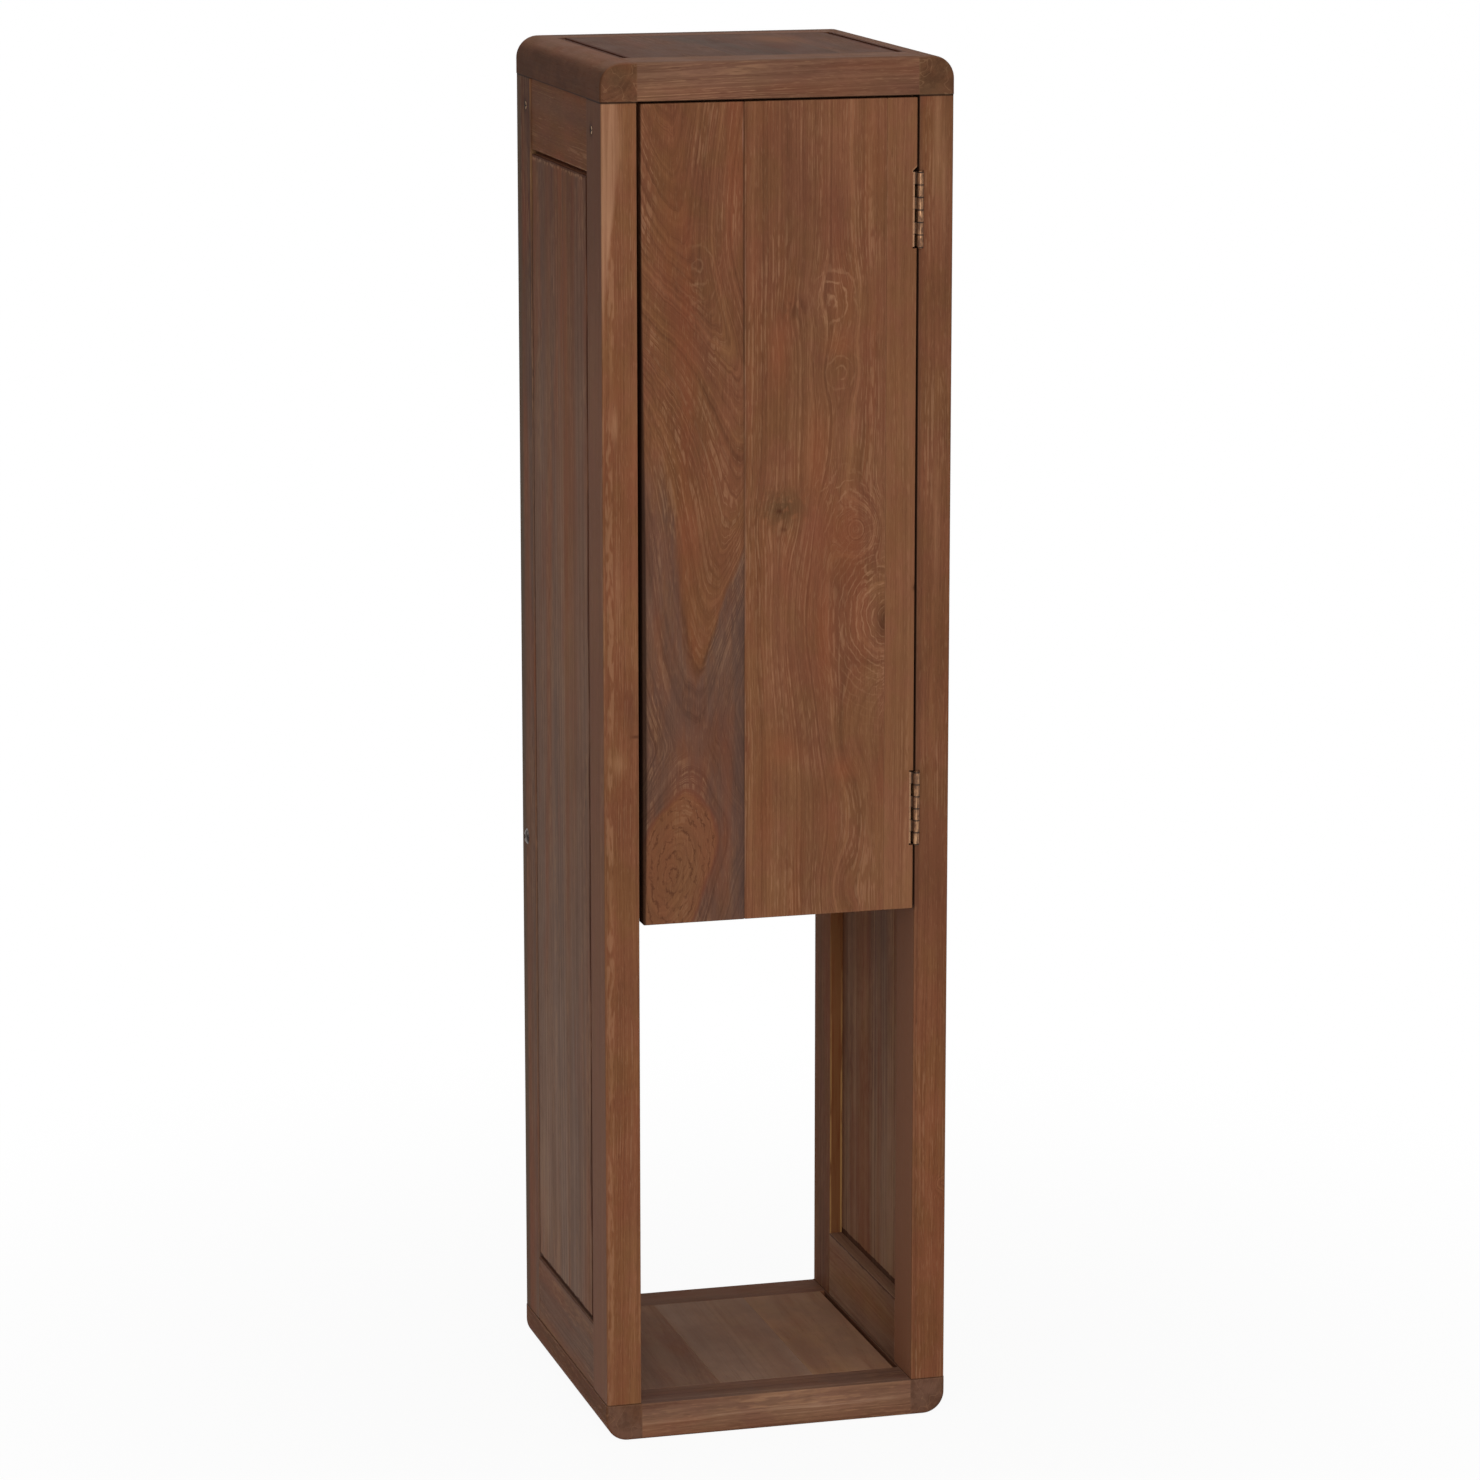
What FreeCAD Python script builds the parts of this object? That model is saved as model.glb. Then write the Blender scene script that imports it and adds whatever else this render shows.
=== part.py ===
import FreeCAD, Part
import os

# Tall bathroom column cabinet in solid wood, millimetres.
# Origin: middle of the underside. +Z up, the door faces -Y, +X is to the right seen from the front.
# Every value below is a length, unless its name ends in share, shares or count.

# Whole cabinet
cabinet_width = 350.0
cabinet_depth = 350.0
cabinet_height = 1360.0
carcass_inset = 0.7

# Clearances and eased edges in the wood
joint_clearance = 0.1
groove_clearance = 0.3
butt_gap = 0.4
stile_arris = 2.5
rail_arris = 1.2
board_arris = 0.5
cut_overrun = 5.0

# Top and bottom slabs
slab_thickness = 37.0
slab_corner_radius = 22.0
slab_end_arris = 4.5
slab_side_rail_width = 36.0
slab_end_rail_width = 43.0
top_front_rail_width = 54.0
slab_panel_thickness = 20.0
slab_groove_width = 5.0
slab_tenon_length = 12.0
slab_tenon_thickness = 12.0
slab_tenon_shoulder = 7.0
top_joint_shares = (0.40, 0.78)
bottom_joint_shares = (0.33, 0.68)

# Side frames
frame_thickness = 34.6
stile_width = 58.0
side_top_rail_height = 71.0
side_bottom_rail_height = 68.0
top_rail_recess = 1.5
bottom_rail_recess = 0.5
rail_tenon_length = 12.0
rail_tenon_shoulder = 8.0

# Side panels
side_panel_thickness = 20.0
side_panel_recess = 1.2
side_gap_front = 7.5
side_gap_rear = 3.0
side_gap_end = 4.6
side_joint_share = 0.46

# Tongues of every framed panel
tongue_thickness = 8.0
tongue_length = 8.0

# Door
door_drop = 2.0
door_thickness = 18.0
door_gap_top = 2.0
door_gap_free = 4.0
door_gap_hinge = 1.5
door_arris = 1.8
door_joint_shares = (0.372, 0.889)

# Compartment floor
floor_bottom = 526.0
floor_thickness = 36.0
floor_rail_width = 43.0
floor_panel_thickness = 20.0
floor_tenon_length = 12.0
door_stop_gap = 3.0

# Cross rails under the top slab
cross_rail_width = 36.0
cross_rail_height = 58.0

# Back panel of the closed compartment
back_panel_thickness = 10.0
back_panel_groove_depth = 6.0
back_panel_set_in = 8.0

# Inner shelf and its pins
shelf_height_share = 0.48
shelf_thickness = 18.0
shelf_gap = 1.0
shelf_front_gap = 3.0
shelf_pin_radius = 2.5
shelf_pin_proud = 10.0
shelf_pin_sunk = 12.0
shelf_pin_inset = 20.0

# Hinges
hinge_length = 72.0
upper_hinge_inset = 107.5
lower_hinge_inset = 101.5
barrel_radius = 3.15
barrel_gap = 0.35
hinge_pin_radius = 1.6
pin_clearance = 0.05
pin_cap_radius = 2.7
pin_cap_height = 1.2
knuckle_count = 6
knuckle_gap = 0.3
leaf_thickness = 2.0
leaf_width = 16.0
leaf_set_back = 0.6
axis_beyond_frame = 0.4
door_notch_depth = 4.6
notch_slant = 4.0
notch_margin = 0.3
finger_air = 0.6
hinge_screw_count = 3
hinge_screw_spacing = 24.0

# Screws, bolts and dowels
small_screw_radius = 1.5
small_screw_head_radius = 3.0
small_screw_length = 16.0
rail_screw_radius = 2.2
rail_screw_head_radius = 4.0
rail_screw_length = 60.0
slot_width = 0.9
slot_depth = 0.7
bolt_radius = 3.5
bolt_head_radius = 8.0
bolt_head_height = 3.0
bolt_length = 62.0
bolt_socket_radius = 2.4
bolt_socket_depth = 1.8
dowel_radius = 4.0
dowel_length = 44.0

# Battens on the back of the door
batten_height = 60.0
batten_thickness = 14.0
batten_inset = 10.0
batten_end_gap = 16.0
batten_arris = 3.0
batten_screw_length = 24.0
batten_screw_shares = (0.08, 0.28, 0.45, 0.82, 0.96)

# Magnetic catch
catch_width = 46.0
catch_height = 13.0
catch_depth = 15.0
catch_inset = 38.0
catch_wall = 3.0
catch_screw_spacing = 36.0
catch_screw_length = 25.0
magnet_width = 24.0
strike_width = 32.0
strike_height = 12.0
strike_thickness = 1.2
strike_air = 0.3

# Planes and levels worked out from the sizes above
side_outer = cabinet_width / 2 - carcass_inset
side_inner = side_outer - frame_thickness
side_middle = (side_outer + side_inner) / 2
side_face = side_outer - side_panel_recess
side_panel_inner = side_face - side_panel_thickness
front_face = -cabinet_depth / 2 + carcass_inset
rear_face = -front_face
ceiling = cabinet_height - slab_thickness
stile_front_edge = front_face + stile_width
stile_rear_edge = rear_face - stile_width
stile_middle = (front_face + stile_front_edge) / 2
top_rail_bottom = ceiling - side_top_rail_height
bottom_rail_top = slab_thickness + side_bottom_rail_height
slab_inner = cabinet_width / 2 - slab_side_rail_width
door_bottom = floor_bottom - door_drop
door_top = ceiling - door_gap_top
door_left = -side_inner + door_gap_free
door_right = side_inner - door_gap_hinge
door_width = door_right - door_left
door_back = front_face + door_thickness
stop_plane = door_back + door_stop_gap
cross_rail_bottom = ceiling - cross_rail_height
cross_rail_middle = ceiling - cross_rail_height / 2
cross_rail_depth_middle = stop_plane + cross_rail_width / 2
floor_top = floor_bottom + floor_thickness
floor_middle = floor_bottom + floor_thickness / 2
floor_front_edge = stop_plane + floor_rail_width
floor_rear_edge = rear_face - floor_rail_width
back_panel_rear = rear_face - back_panel_set_in
back_panel_front = back_panel_rear - back_panel_thickness
shelf_level = floor_top + shelf_height_share * (ceiling - floor_top)
hinge_x = side_inner + axis_beyond_frame
hinge_y = front_face - barrel_gap - barrel_radius
leaf_front = front_face + leaf_set_back
hinge_levels = {"upper": door_top - upper_hinge_inset, "lower": door_bottom + lower_hinge_inset}
notch_slants = {"upper": notch_slant, "lower": 0.0}
dowel_half = dowel_length / 2

# Unit directions
right = FreeCAD.Vector(1, 0, 0)
front = FreeCAD.Vector(0, -1, 0)
up = FreeCAD.Vector(0, 0, 1)

os.makedirs("parts", exist_ok=True)


def vector(x, y, z):
    return FreeCAD.Vector(x, y, z)


def block(x_range, y_range, z_range):
    corner = vector(x_range[0], y_range[0], z_range[0])
    x_length, y_length, z_length = (high - low for low, high in (x_range, y_range, z_range))
    return Part.makeBox(x_length, y_length, z_length, corner)


def block_along(axes, first, second, third):
    """A block whose three ranges are given in the order of the axes, such as "yzx"."""
    ranges = dict(zip(axes, (first, second, third)))
    return block(ranges["x"], ranges["y"], ranges["z"])


def rod(radius, start, direction, length):
    return Part.makeCylinder(radius, length, start, direction)


def taper(start_radius, end_radius, start, direction, length):
    return Part.makeCone(start_radius, end_radius, length, start, direction)


def grown(pair, margin):
    return (pair[0] - margin, pair[1] + margin)


def lies_on(edge, line, tolerance):
    ends = [vertex.Point for vertex in edge.Vertexes]
    return all(abs(getattr(end, axis) - at) < tolerance for axis, at in line.items() for end in ends)


def eased(solid, radius, *lines):
    """Rounds the straight edges that lie on the lines; a line is two coordinates by axis name."""
    tolerance = radius / 100
    picked = [edge for edge in solid.Edges if any(lies_on(edge, line, tolerance) for line in lines)]
    return solid.makeFillet(radius, picked)


def mirrored(shape):
    return shape.mirror(vector(0, 0, 0), right)


def save(name, *solids):
    shape = solids[0] if len(solids) == 1 else Part.makeCompound(list(solids))
    shape.exportStep("parts/" + name + ".step")


def with_mirrored(shape):
    return [shape, mirrored(shape)]


# Fasteners: each has a hole shape a little larger than itself, cut in whatever it passes through

def screw_body(start, direction, length, shank_radius, head_radius, margin):
    head_height = head_radius - shank_radius
    head = taper(head_radius + margin, shank_radius + margin, start, direction, head_height)
    return head.fuse(rod(shank_radius + margin, start, direction, length + margin))


def screw(start, direction, length, shank_radius, head_radius):
    body = screw_body(start, direction, length, shank_radius, head_radius, 0)
    for turn in (right, front, up):
        if abs(turn.dot(direction)) > 0:
            continue
        half = turn * head_radius
        side = direction.cross(turn) * (slot_width / 2)
        corners = [start + half + side, start + half - side, start - half - side, start - half + side]
        slot_face = Part.Face(Part.makePolygon(corners + corners[:1]))
        body = body.cut(slot_face.extrude(direction * slot_depth))
    return body


def small_screw(start, direction, length):
    return screw(start, direction, length, small_screw_radius, small_screw_head_radius)


def small_hole(start, direction, length):
    head_radius = small_screw_head_radius
    return screw_body(start, direction, length, small_screw_radius, head_radius, joint_clearance)


def dowel(start, direction):
    return rod(dowel_radius, start - direction * dowel_half, direction, dowel_length)


def dowel_hole(start, direction):
    base = start - direction * (dowel_half + joint_clearance)
    return rod(dowel_radius + joint_clearance, base, direction, dowel_length + 2 * joint_clearance)


slab_dowel_places = [
    vector(side_middle, depth, level)
    for depth in (stile_middle, -stile_middle)
    for level in (slab_thickness, ceiling)
]
floor_dowel_place = vector(side_inner, (stop_plane + floor_front_edge) / 2, floor_middle)
rail_screw_places = [
    vector(side_outer, depth, cross_rail_middle)
    for depth in (cross_rail_depth_middle, -cross_rail_depth_middle)
]
bolt_place = vector(side_outer, (rear_face + floor_rear_edge) / 2, floor_middle)
shelf_pin_depths = (stile_front_edge - shelf_pin_inset, stile_rear_edge + shelf_pin_inset)
shelf_pin_places = [
    vector(side_inner - shelf_pin_proud, depth, shelf_level - shelf_pin_radius)
    for depth in shelf_pin_depths
]

carcass_holes = [dowel_hole(place, up) for place in slab_dowel_places]
carcass_holes.append(dowel_hole(floor_dowel_place, right))
for place in rail_screw_places:
    length, head_radius = rail_screw_length, rail_screw_head_radius
    hole = screw_body(place, -right, length, rail_screw_radius, head_radius, joint_clearance)
    carcass_holes.append(hole)
bolt_hole_length = bolt_length + joint_clearance
carcass_holes.append(rod(bolt_radius + joint_clearance, bolt_place, -right, bolt_hole_length))
for place in shelf_pin_places:
    pin_length = shelf_pin_proud + shelf_pin_sunk + joint_clearance
    carcass_holes.append(rod(shelf_pin_radius + joint_clearance, place, right, pin_length))


def drilled(solid, sides=(1,)):
    """Cuts the holes of the right side, and of the left too where sides asks, out of a solid."""
    for hole in carcass_holes:
        for side in sides:
            tool = hole if side > 0 else mirrored(hole)
            if solid.BoundBox.intersect(tool.BoundBox):
                solid = solid.cut(tool)
    return solid


# Framed panels: a thick field with a thinner tongue all round, split into boards

def panel_boards(axes, across, along, face, thickness, gaps, joints):
    """Boards that run along the second axis; the field faces the third axis's high side.

    gaps are the open gaps at the low side, at the high side and at both ends.
    """
    inner_face = face - thickness
    tongue_span = (inner_face, inner_face + tongue_thickness)
    field_low = across[0] + gaps[0]
    field_high = across[1] - gaps[1]
    opening = across[1] - across[0]
    edges = [field_low] + [across[0] + share * opening for share in joints] + [field_high]
    field_along = (along[0] + gaps[2], along[1] - gaps[2])
    boards = []
    for low, high in zip(edges, edges[1:]):
        tongue_low = across[0] - tongue_length if low == field_low else low
        tongue_high = across[1] + tongue_length if high == field_high else high
        field = block_along(axes, (low, high), field_along, (inner_face, face))
        lines = [{axes[0]: edge, axes[2]: face} for edge in (low, high)]
        lines += [{axes[1]: end, axes[2]: face} for end in field_along]
        field = eased(field, board_arris, *lines)
        tongue = block_along(axes, (tongue_low, tongue_high), grown(along, tongue_length), tongue_span)
        boards.append(field.fuse(tongue).removeSplitter())
    return boards


def panel_groove(axes, across, along, face, thickness):
    """The space that a panel's tongue needs in the frame round it."""
    inner_face = face - thickness
    reach = tongue_length + groove_clearance
    groove_span = grown((inner_face, inner_face + tongue_thickness), joint_clearance)
    return block_along(axes, grown(across, reach), grown(along, reach), groove_span)


# Top and bottom slabs

def slab(name, bottom, rounded_level, plain_level, front_rail_width, joints):
    """A framed slab whose panel lies flush with its upper face."""
    top = bottom + slab_thickness
    half_depth = cabinet_depth / 2
    front_rail = (-half_depth, -half_depth + front_rail_width)
    back_rail = (half_depth - slab_end_rail_width, half_depth)
    across = (-slab_inner, slab_inner)
    along = (front_rail[1], back_rail[0])
    middle = (bottom + top) / 2
    tenon_span = (middle - slab_tenon_thickness / 2, middle + slab_tenon_thickness / 2)
    groove = panel_groove("xyz", across, along, top, slab_panel_thickness)

    side_rail = block((slab_inner, cabinet_width / 2), (-half_depth, half_depth), (bottom, top))
    side_rail = eased(side_rail, slab_corner_radius, {"x": cabinet_width / 2, "z": rounded_level})
    end_edges = []
    for edge in side_rail.Edges:
        points = [edge.valueAt(edge.FirstParameter), edge.valueAt(edge.LastParameter)]
        at_end = all(abs(abs(point.y) - half_depth) < rail_arris / 100 for point in points)
        inner = all(abs(point.x - slab_inner) < rail_arris / 100 for point in points)
        plain = all(abs(point.z - plain_level) < rail_arris / 100 for point in points)
        if at_end and not inner and not plain:
            end_edges.append(edge)
    side_rail = side_rail.makeFillet(slab_end_arris, end_edges)
    side_rail = drilled(side_rail.cut(groove))

    tenons = []
    inward = tongue_length + slab_tenon_shoulder
    for low, high, rail in (
        (front_rail[0] + slab_tenon_shoulder, front_rail[1] - inward, front_rail),
        (back_rail[0] + inward, back_rail[1] - slab_tenon_shoulder, back_rail),
    ):
        tenon = block(grown(across, slab_tenon_length), (low, high), tenon_span)
        reach = slab_tenon_length + joint_clearance
        mortise = block(
            grown(across, reach), grown((low, high), joint_clearance), grown(tenon_span, joint_clearance)
        )
        side_rail = side_rail.cut(mortise)
        tenons.append(tenon)
    save(name + "_right_rail", side_rail)
    save(name + "_left_rail", mirrored(side_rail))

    for end, span, outer, tenon in (
        ("front", front_rail, -half_depth, tenons[0]),
        ("back", back_rail, half_depth, tenons[1]),
    ):
        rail = block(across, span, (bottom, top))
        rail = eased(rail, slab_end_arris, {"y": outer, "z": rounded_level})
        rail = eased(rail, rail_arris, {"y": outer, "z": plain_level})
        save(name + "_" + end + "_rail", rail.fuse(tenon).removeSplitter().cut(groove))

    gaps = (slab_groove_width, slab_groove_width, butt_gap)
    boards = panel_boards("xyz", across, along, top, slab_panel_thickness, gaps, joints)
    for place, board in zip(("left", "middle", "right"), boards):
        save(name + "_panel_" + place + "_board", board)


slab("top", ceiling, cabinet_height, ceiling, top_front_rail_width, top_joint_shares)
slab("bottom", 0, 0, slab_thickness, slab_end_rail_width, bottom_joint_shares)


# Side frames, built on the right and mirrored to the left

side_across = (stile_front_edge, stile_rear_edge)
side_along = (bottom_rail_top, top_rail_bottom)
side_tongue_span = (side_panel_inner, side_panel_inner + tongue_thickness)
side_groove = panel_groove("yzx", side_across, side_along, side_face, side_panel_thickness)
stile_span = (slab_thickness, ceiling)
tenon_inset = tongue_length + rail_tenon_shoulder
top_tenon_span = (top_rail_bottom + tenon_inset, ceiling - rail_tenon_shoulder)
bottom_tenon_span = (slab_thickness + rail_tenon_shoulder, bottom_rail_top - tenon_inset)
top_rail_span = (top_rail_bottom, ceiling)
bottom_rail_span = (slab_thickness, bottom_rail_top)
back_panel_side = side_inner + back_panel_groove_depth

rails = {}
mortises = []
for name, span, tenon_span, recess, inner_level in (
    ("top_rail", top_rail_span, top_tenon_span, top_rail_recess, top_rail_bottom),
    ("bottom_rail", bottom_rail_span, bottom_tenon_span, bottom_rail_recess, bottom_rail_top),
):
    rail = block((side_inner, side_outer - recess), side_across, span)
    rail = eased(
        rail,
        rail_arris,
        {"x": side_inner, "z": inner_level},
        {"x": side_outer - recess, "z": inner_level},
    )
    tenon = block(side_tongue_span, grown(side_across, rail_tenon_length), tenon_span)
    rails[name] = rail.fuse(tenon).removeSplitter().cut(side_groove)
    mortises.append(
        block(
            grown(side_tongue_span, joint_clearance),
            grown(side_across, rail_tenon_length + joint_clearance),
            grown(tenon_span, joint_clearance),
        )
    )

stiles = {}
for name, outer_face, inner_edge in (
    ("front_stile", front_face, stile_front_edge),
    ("rear_stile", rear_face, stile_rear_edge),
):
    depth_span = (min(outer_face, inner_edge), max(outer_face, inner_edge))
    stile = block((side_inner, side_outer), depth_span, stile_span)
    stile = eased(stile, stile_arris, {"x": side_outer, "y": outer_face})
    stile = eased(
        stile,
        rail_arris,
        {"x": side_inner, "y": outer_face},
        {"x": side_inner, "y": inner_edge},
        {"x": side_outer, "y": inner_edge},
    )
    for tool in mortises + [side_groove]:
        stile = stile.cut(tool)
    stiles[name] = drilled(stile)

back_groove = block(
    (side_inner - cut_overrun, back_panel_side + groove_clearance),
    grown((back_panel_front, back_panel_rear), joint_clearance),
    (floor_top, ceiling),
)
stiles["rear_stile"] = stiles["rear_stile"].cut(back_groove)

side_gaps = (side_gap_front, side_gap_rear, side_gap_end)
side_boards = panel_boards(
    "yzx", side_across, side_along, side_face, side_panel_thickness, side_gaps, (side_joint_share,)
)

for name, rail in rails.items():
    save("right_" + name, rail)
    save("left_" + name, mirrored(rail))
for name, board in zip(("front", "rear"), side_boards):
    save("right_panel_" + name + "_board", board)
    save("left_panel_" + name + "_board", mirrored(board))
save("right_rear_stile", stiles["rear_stile"])
for name, stile in stiles.items():
    save("left_" + name, mirrored(stile))


# Hinges: barrels stand proud of the front, on one axis just outside the gap beside the door

def hinge_parts(level):
    bottom = level - hinge_length / 2
    pitch = hinge_length / knuckle_count
    plate_depth = (leaf_front, leaf_front + leaf_width)
    frame_plate = (side_inner, side_inner + leaf_thickness)
    door_plate = (door_right - door_notch_depth, door_right - door_notch_depth + leaf_thickness)
    whole = (bottom, bottom + hinge_length)
    frame_leaf = block(frame_plate, plate_depth, whole)
    door_leaf = block(door_plate, plate_depth, whole)
    riser = (side_inner - finger_air - leaf_thickness, side_inner - finger_air)
    for knuckle in range(knuckle_count):
        low = bottom + knuckle * pitch + knuckle_gap / 2
        height = pitch - knuckle_gap
        span = (low, low + height)
        ring = rod(barrel_radius, vector(hinge_x, hinge_y, low), up, height)
        if knuckle % 2 == 0:
            frame_leaf = frame_leaf.fuse([ring, block(frame_plate, (hinge_y, plate_depth[1]), span)])
        else:
            back = leaf_front + leaf_thickness
            cross = block((door_plate[0], riser[1]), (leaf_front, back), span)
            door_leaf = door_leaf.fuse([ring, cross, block(riser, (hinge_y, back), span)])
    bore = rod(hinge_pin_radius + pin_clearance, vector(hinge_x, hinge_y, bottom), up, hinge_length)
    middle = leaf_front + leaf_width / 2
    screws = {"frame": [], "door": []}
    holes = {"frame": [], "door": []}
    for step in range(hinge_screw_count):
        height = level + (step - (hinge_screw_count - 1) / 2) * hinge_screw_spacing
        frame_start = vector(side_inner, middle, height)
        door_start = vector(door_plate[1], middle, height)
        for side, start, direction in (("frame", frame_start, right), ("door", door_start, -right)):
            screws[side].append(small_screw(start, direction, small_screw_length))
            holes[side].append(small_hole(start, direction, small_screw_length))
    frame_leaf = frame_leaf.cut(holes["frame"] + [bore]).removeSplitter()
    door_leaf = door_leaf.cut(holes["door"] + [bore]).removeSplitter()
    lower_cap = vector(hinge_x, hinge_y, bottom)
    upper_cap = vector(hinge_x, hinge_y, bottom + hinge_length)
    pin = rod(hinge_pin_radius, lower_cap, up, hinge_length)
    pin = pin.fuse([
        taper(pin_cap_radius, hinge_pin_radius, upper_cap, up, pin_cap_height),
        taper(pin_cap_radius, hinge_pin_radius, lower_cap, -up, pin_cap_height),
    ])
    return frame_leaf, door_leaf, pin, screws, holes


front_stile = stiles["front_stile"]
door_tools = []
frame_screws = []
door_screws = []
notch_left = door_right - door_notch_depth
for place, level in hinge_levels.items():
    frame_leaf, door_leaf, pin, screws, holes = hinge_parts(level)
    save(place + "_hinge_frame_leaf", frame_leaf)
    save(place + "_hinge_door_leaf", door_leaf)
    save(place + "_hinge_pin", pin)
    frame_screws += screws["frame"]
    door_screws += screws["door"]
    half = hinge_length / 2 + notch_margin
    mortise = block(
        (side_inner - cut_overrun, side_inner + leaf_thickness),
        (front_face - cut_overrun, leaf_front + leaf_width + joint_clearance),
        (level - half, level + half),
    )
    front_stile = front_stile.cut([mortise] + holes["frame"])
    notch_half = half + pin_cap_height
    notch_top = level + notch_half + notch_slants[place]
    notch_front = front_face - cut_overrun
    notch_right = door_right + cut_overrun
    outline = [
        vector(notch_left, notch_front, level - notch_half),
        vector(notch_right, notch_front, level - notch_half),
        vector(notch_right, notch_front, notch_top),
        vector(door_right, notch_front, notch_top),
        vector(notch_left, notch_front, level + notch_half),
    ]
    notch = Part.Face(Part.makePolygon(outline + outline[:1]))
    door_tools.append(notch.extrude(-front * (door_thickness + 2 * cut_overrun)))
    door_tools += holes["door"]
save("right_front_stile", front_stile)
save("hinge_frame_screws", *frame_screws)
save("hinge_door_screws", *door_screws)


# Door: three boards side by side, battens behind them, strike plate

lower_batten_bottom = floor_top + batten_end_gap
upper_batten_bottom = cross_rail_bottom - catch_height - batten_end_gap - batten_height
batten_across = (door_left + batten_inset, door_right - batten_inset)
batten_depth = (door_back, door_back + batten_thickness)
battens = {}
batten_screws = []
for place, bottom in (("upper", upper_batten_bottom), ("lower", lower_batten_bottom)):
    batten = block(batten_across, batten_depth, (bottom, bottom + batten_height))
    batten = eased(
        batten,
        batten_arris,
        {"y": batten_depth[1], "z": bottom},
        {"y": batten_depth[1], "z": bottom + batten_height},
        {"x": batten_across[0], "y": batten_depth[1]},
        {"x": batten_across[1], "y": batten_depth[1]},
    )
    for share in batten_screw_shares:
        at = batten_across[0] + share * (batten_across[1] - batten_across[0])
        start = vector(at, batten_depth[1], bottom + batten_height / 2)
        batten_screws.append(small_screw(start, front, batten_screw_length))
        hole = small_hole(start, front, batten_screw_length)
        batten = batten.cut(hole)
        door_tools.append(hole)
    save("door_" + place + "_batten", batten)
save("batten_screws", *batten_screws)

catch_middle = -side_inner + catch_inset + catch_width / 2
catch_span = (cross_rail_bottom - catch_height, cross_rail_bottom)
strike_middle = (catch_span[0] + catch_span[1]) / 2
strike = block(
    (catch_middle - strike_width / 2, catch_middle + strike_width / 2),
    (door_back, door_back + strike_thickness),
    (strike_middle - strike_height / 2, strike_middle + strike_height / 2),
)
strike_start = vector(catch_middle, door_back + strike_thickness, strike_middle)
strike_hole = small_hole(strike_start, front, small_screw_length)
save("strike_plate", strike.cut(strike_hole))
save("strike_screw", small_screw(strike_start, front, small_screw_length))
door_tools.append(strike_hole)

door_edges = [door_left] + [door_left + share * door_width for share in door_joint_shares] + [door_right]
for place, low, high in zip(("left", "middle", "right"), door_edges, door_edges[1:]):
    board = block((low, high), (front_face, door_back), (door_bottom, door_top))
    for edge in (low, high):
        radius = door_arris if edge in (door_left, door_right) else board_arris
        board = eased(board, radius, {"x": edge, "y": front_face}, {"x": edge, "y": door_back})
    for level in (door_bottom, door_top):
        board = eased(board, rail_arris, {"y": door_back, "z": level})
    save("door_" + place + "_board", board.cut(door_tools))


# Compartment floor: a framed panel between the side frames, flush above

floor_across = (-side_inner + floor_rail_width, side_inner - floor_rail_width)
floor_along = (floor_front_edge, floor_rear_edge)
floor_groove = panel_groove("xyz", floor_across, floor_along, floor_top, floor_panel_thickness)
floor_span = (floor_bottom, floor_top)
floor_tenon_span = (
    floor_top - floor_panel_thickness,
    floor_top - floor_panel_thickness + tongue_thickness,
)
floor_tenon_across = (floor_across[1] + tenon_inset, side_inner - rail_tenon_shoulder)
floor_tenon = block(floor_tenon_across, grown(floor_along, floor_tenon_length), floor_tenon_span)
floor_mortise = block(
    grown(floor_tenon_across, joint_clearance),
    grown(floor_along, floor_tenon_length + joint_clearance),
    grown(floor_tenon_span, joint_clearance),
)
floor_side_rail = block((floor_across[1], side_inner), floor_along, floor_span)
floor_side_lip = block(
    (side_inner, side_panel_inner - groove_clearance),
    (
        max(stile_front_edge + groove_clearance, floor_front_edge),
        min(stile_rear_edge - groove_clearance, floor_rear_edge),
    ),
    floor_span,
)
floor_side_rail = floor_side_rail.fuse([floor_side_lip, floor_tenon]).removeSplitter().cut(floor_groove)
save("compartment_floor_right_rail", floor_side_rail)
save("compartment_floor_left_rail", mirrored(floor_side_rail))
for place, span, outer in (
    ("front", (stop_plane, floor_front_edge), stop_plane),
    ("back", (floor_rear_edge, rear_face), rear_face),
):
    rail = block((-side_inner, side_inner), span, floor_span)
    rail = eased(rail, rail_arris, {"y": outer, "z": floor_bottom}, {"y": outer, "z": floor_top})
    rail = rail.cut([floor_groove, floor_mortise, mirrored(floor_mortise)])
    save("compartment_floor_" + place + "_rail", drilled(rail, (1, -1)))
floor_gaps = (butt_gap, butt_gap, butt_gap)
floor_panel = panel_boards(
    "xyz", floor_across, floor_along, floor_top, floor_panel_thickness, floor_gaps, ()
)
save("compartment_floor_panel", *floor_panel)


# Cross rails under the top slab, back panel, shelf

catch_holes = []
catch_screws = []
for offset in (-catch_screw_spacing / 2, catch_screw_spacing / 2):
    start = vector(catch_middle + offset, stop_plane + catch_depth / 2, catch_span[0])
    catch_holes.append(small_hole(start, up, catch_screw_length))
    catch_screws.append(small_screw(start, up, catch_screw_length))
save("catch_screws", *catch_screws)

for place, span in (
    ("front", (stop_plane, stop_plane + cross_rail_width)),
    ("back", (-stop_plane - cross_rail_width, -stop_plane)),
):
    rail = block((-side_inner, side_inner), span, (cross_rail_bottom, ceiling))
    rail = eased(rail, rail_arris, *[{"y": face, "z": cross_rail_bottom} for face in span])
    rail = drilled(rail, (1, -1))
    if place == "front":
        rail = rail.cut(catch_holes)
    save("upper_" + place + "_cross_rail", rail)

back_panel = block(
    (-back_panel_side, back_panel_side),
    (back_panel_front, back_panel_rear),
    (floor_top, ceiling - groove_clearance),
)
save("back_panel", back_panel)

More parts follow.
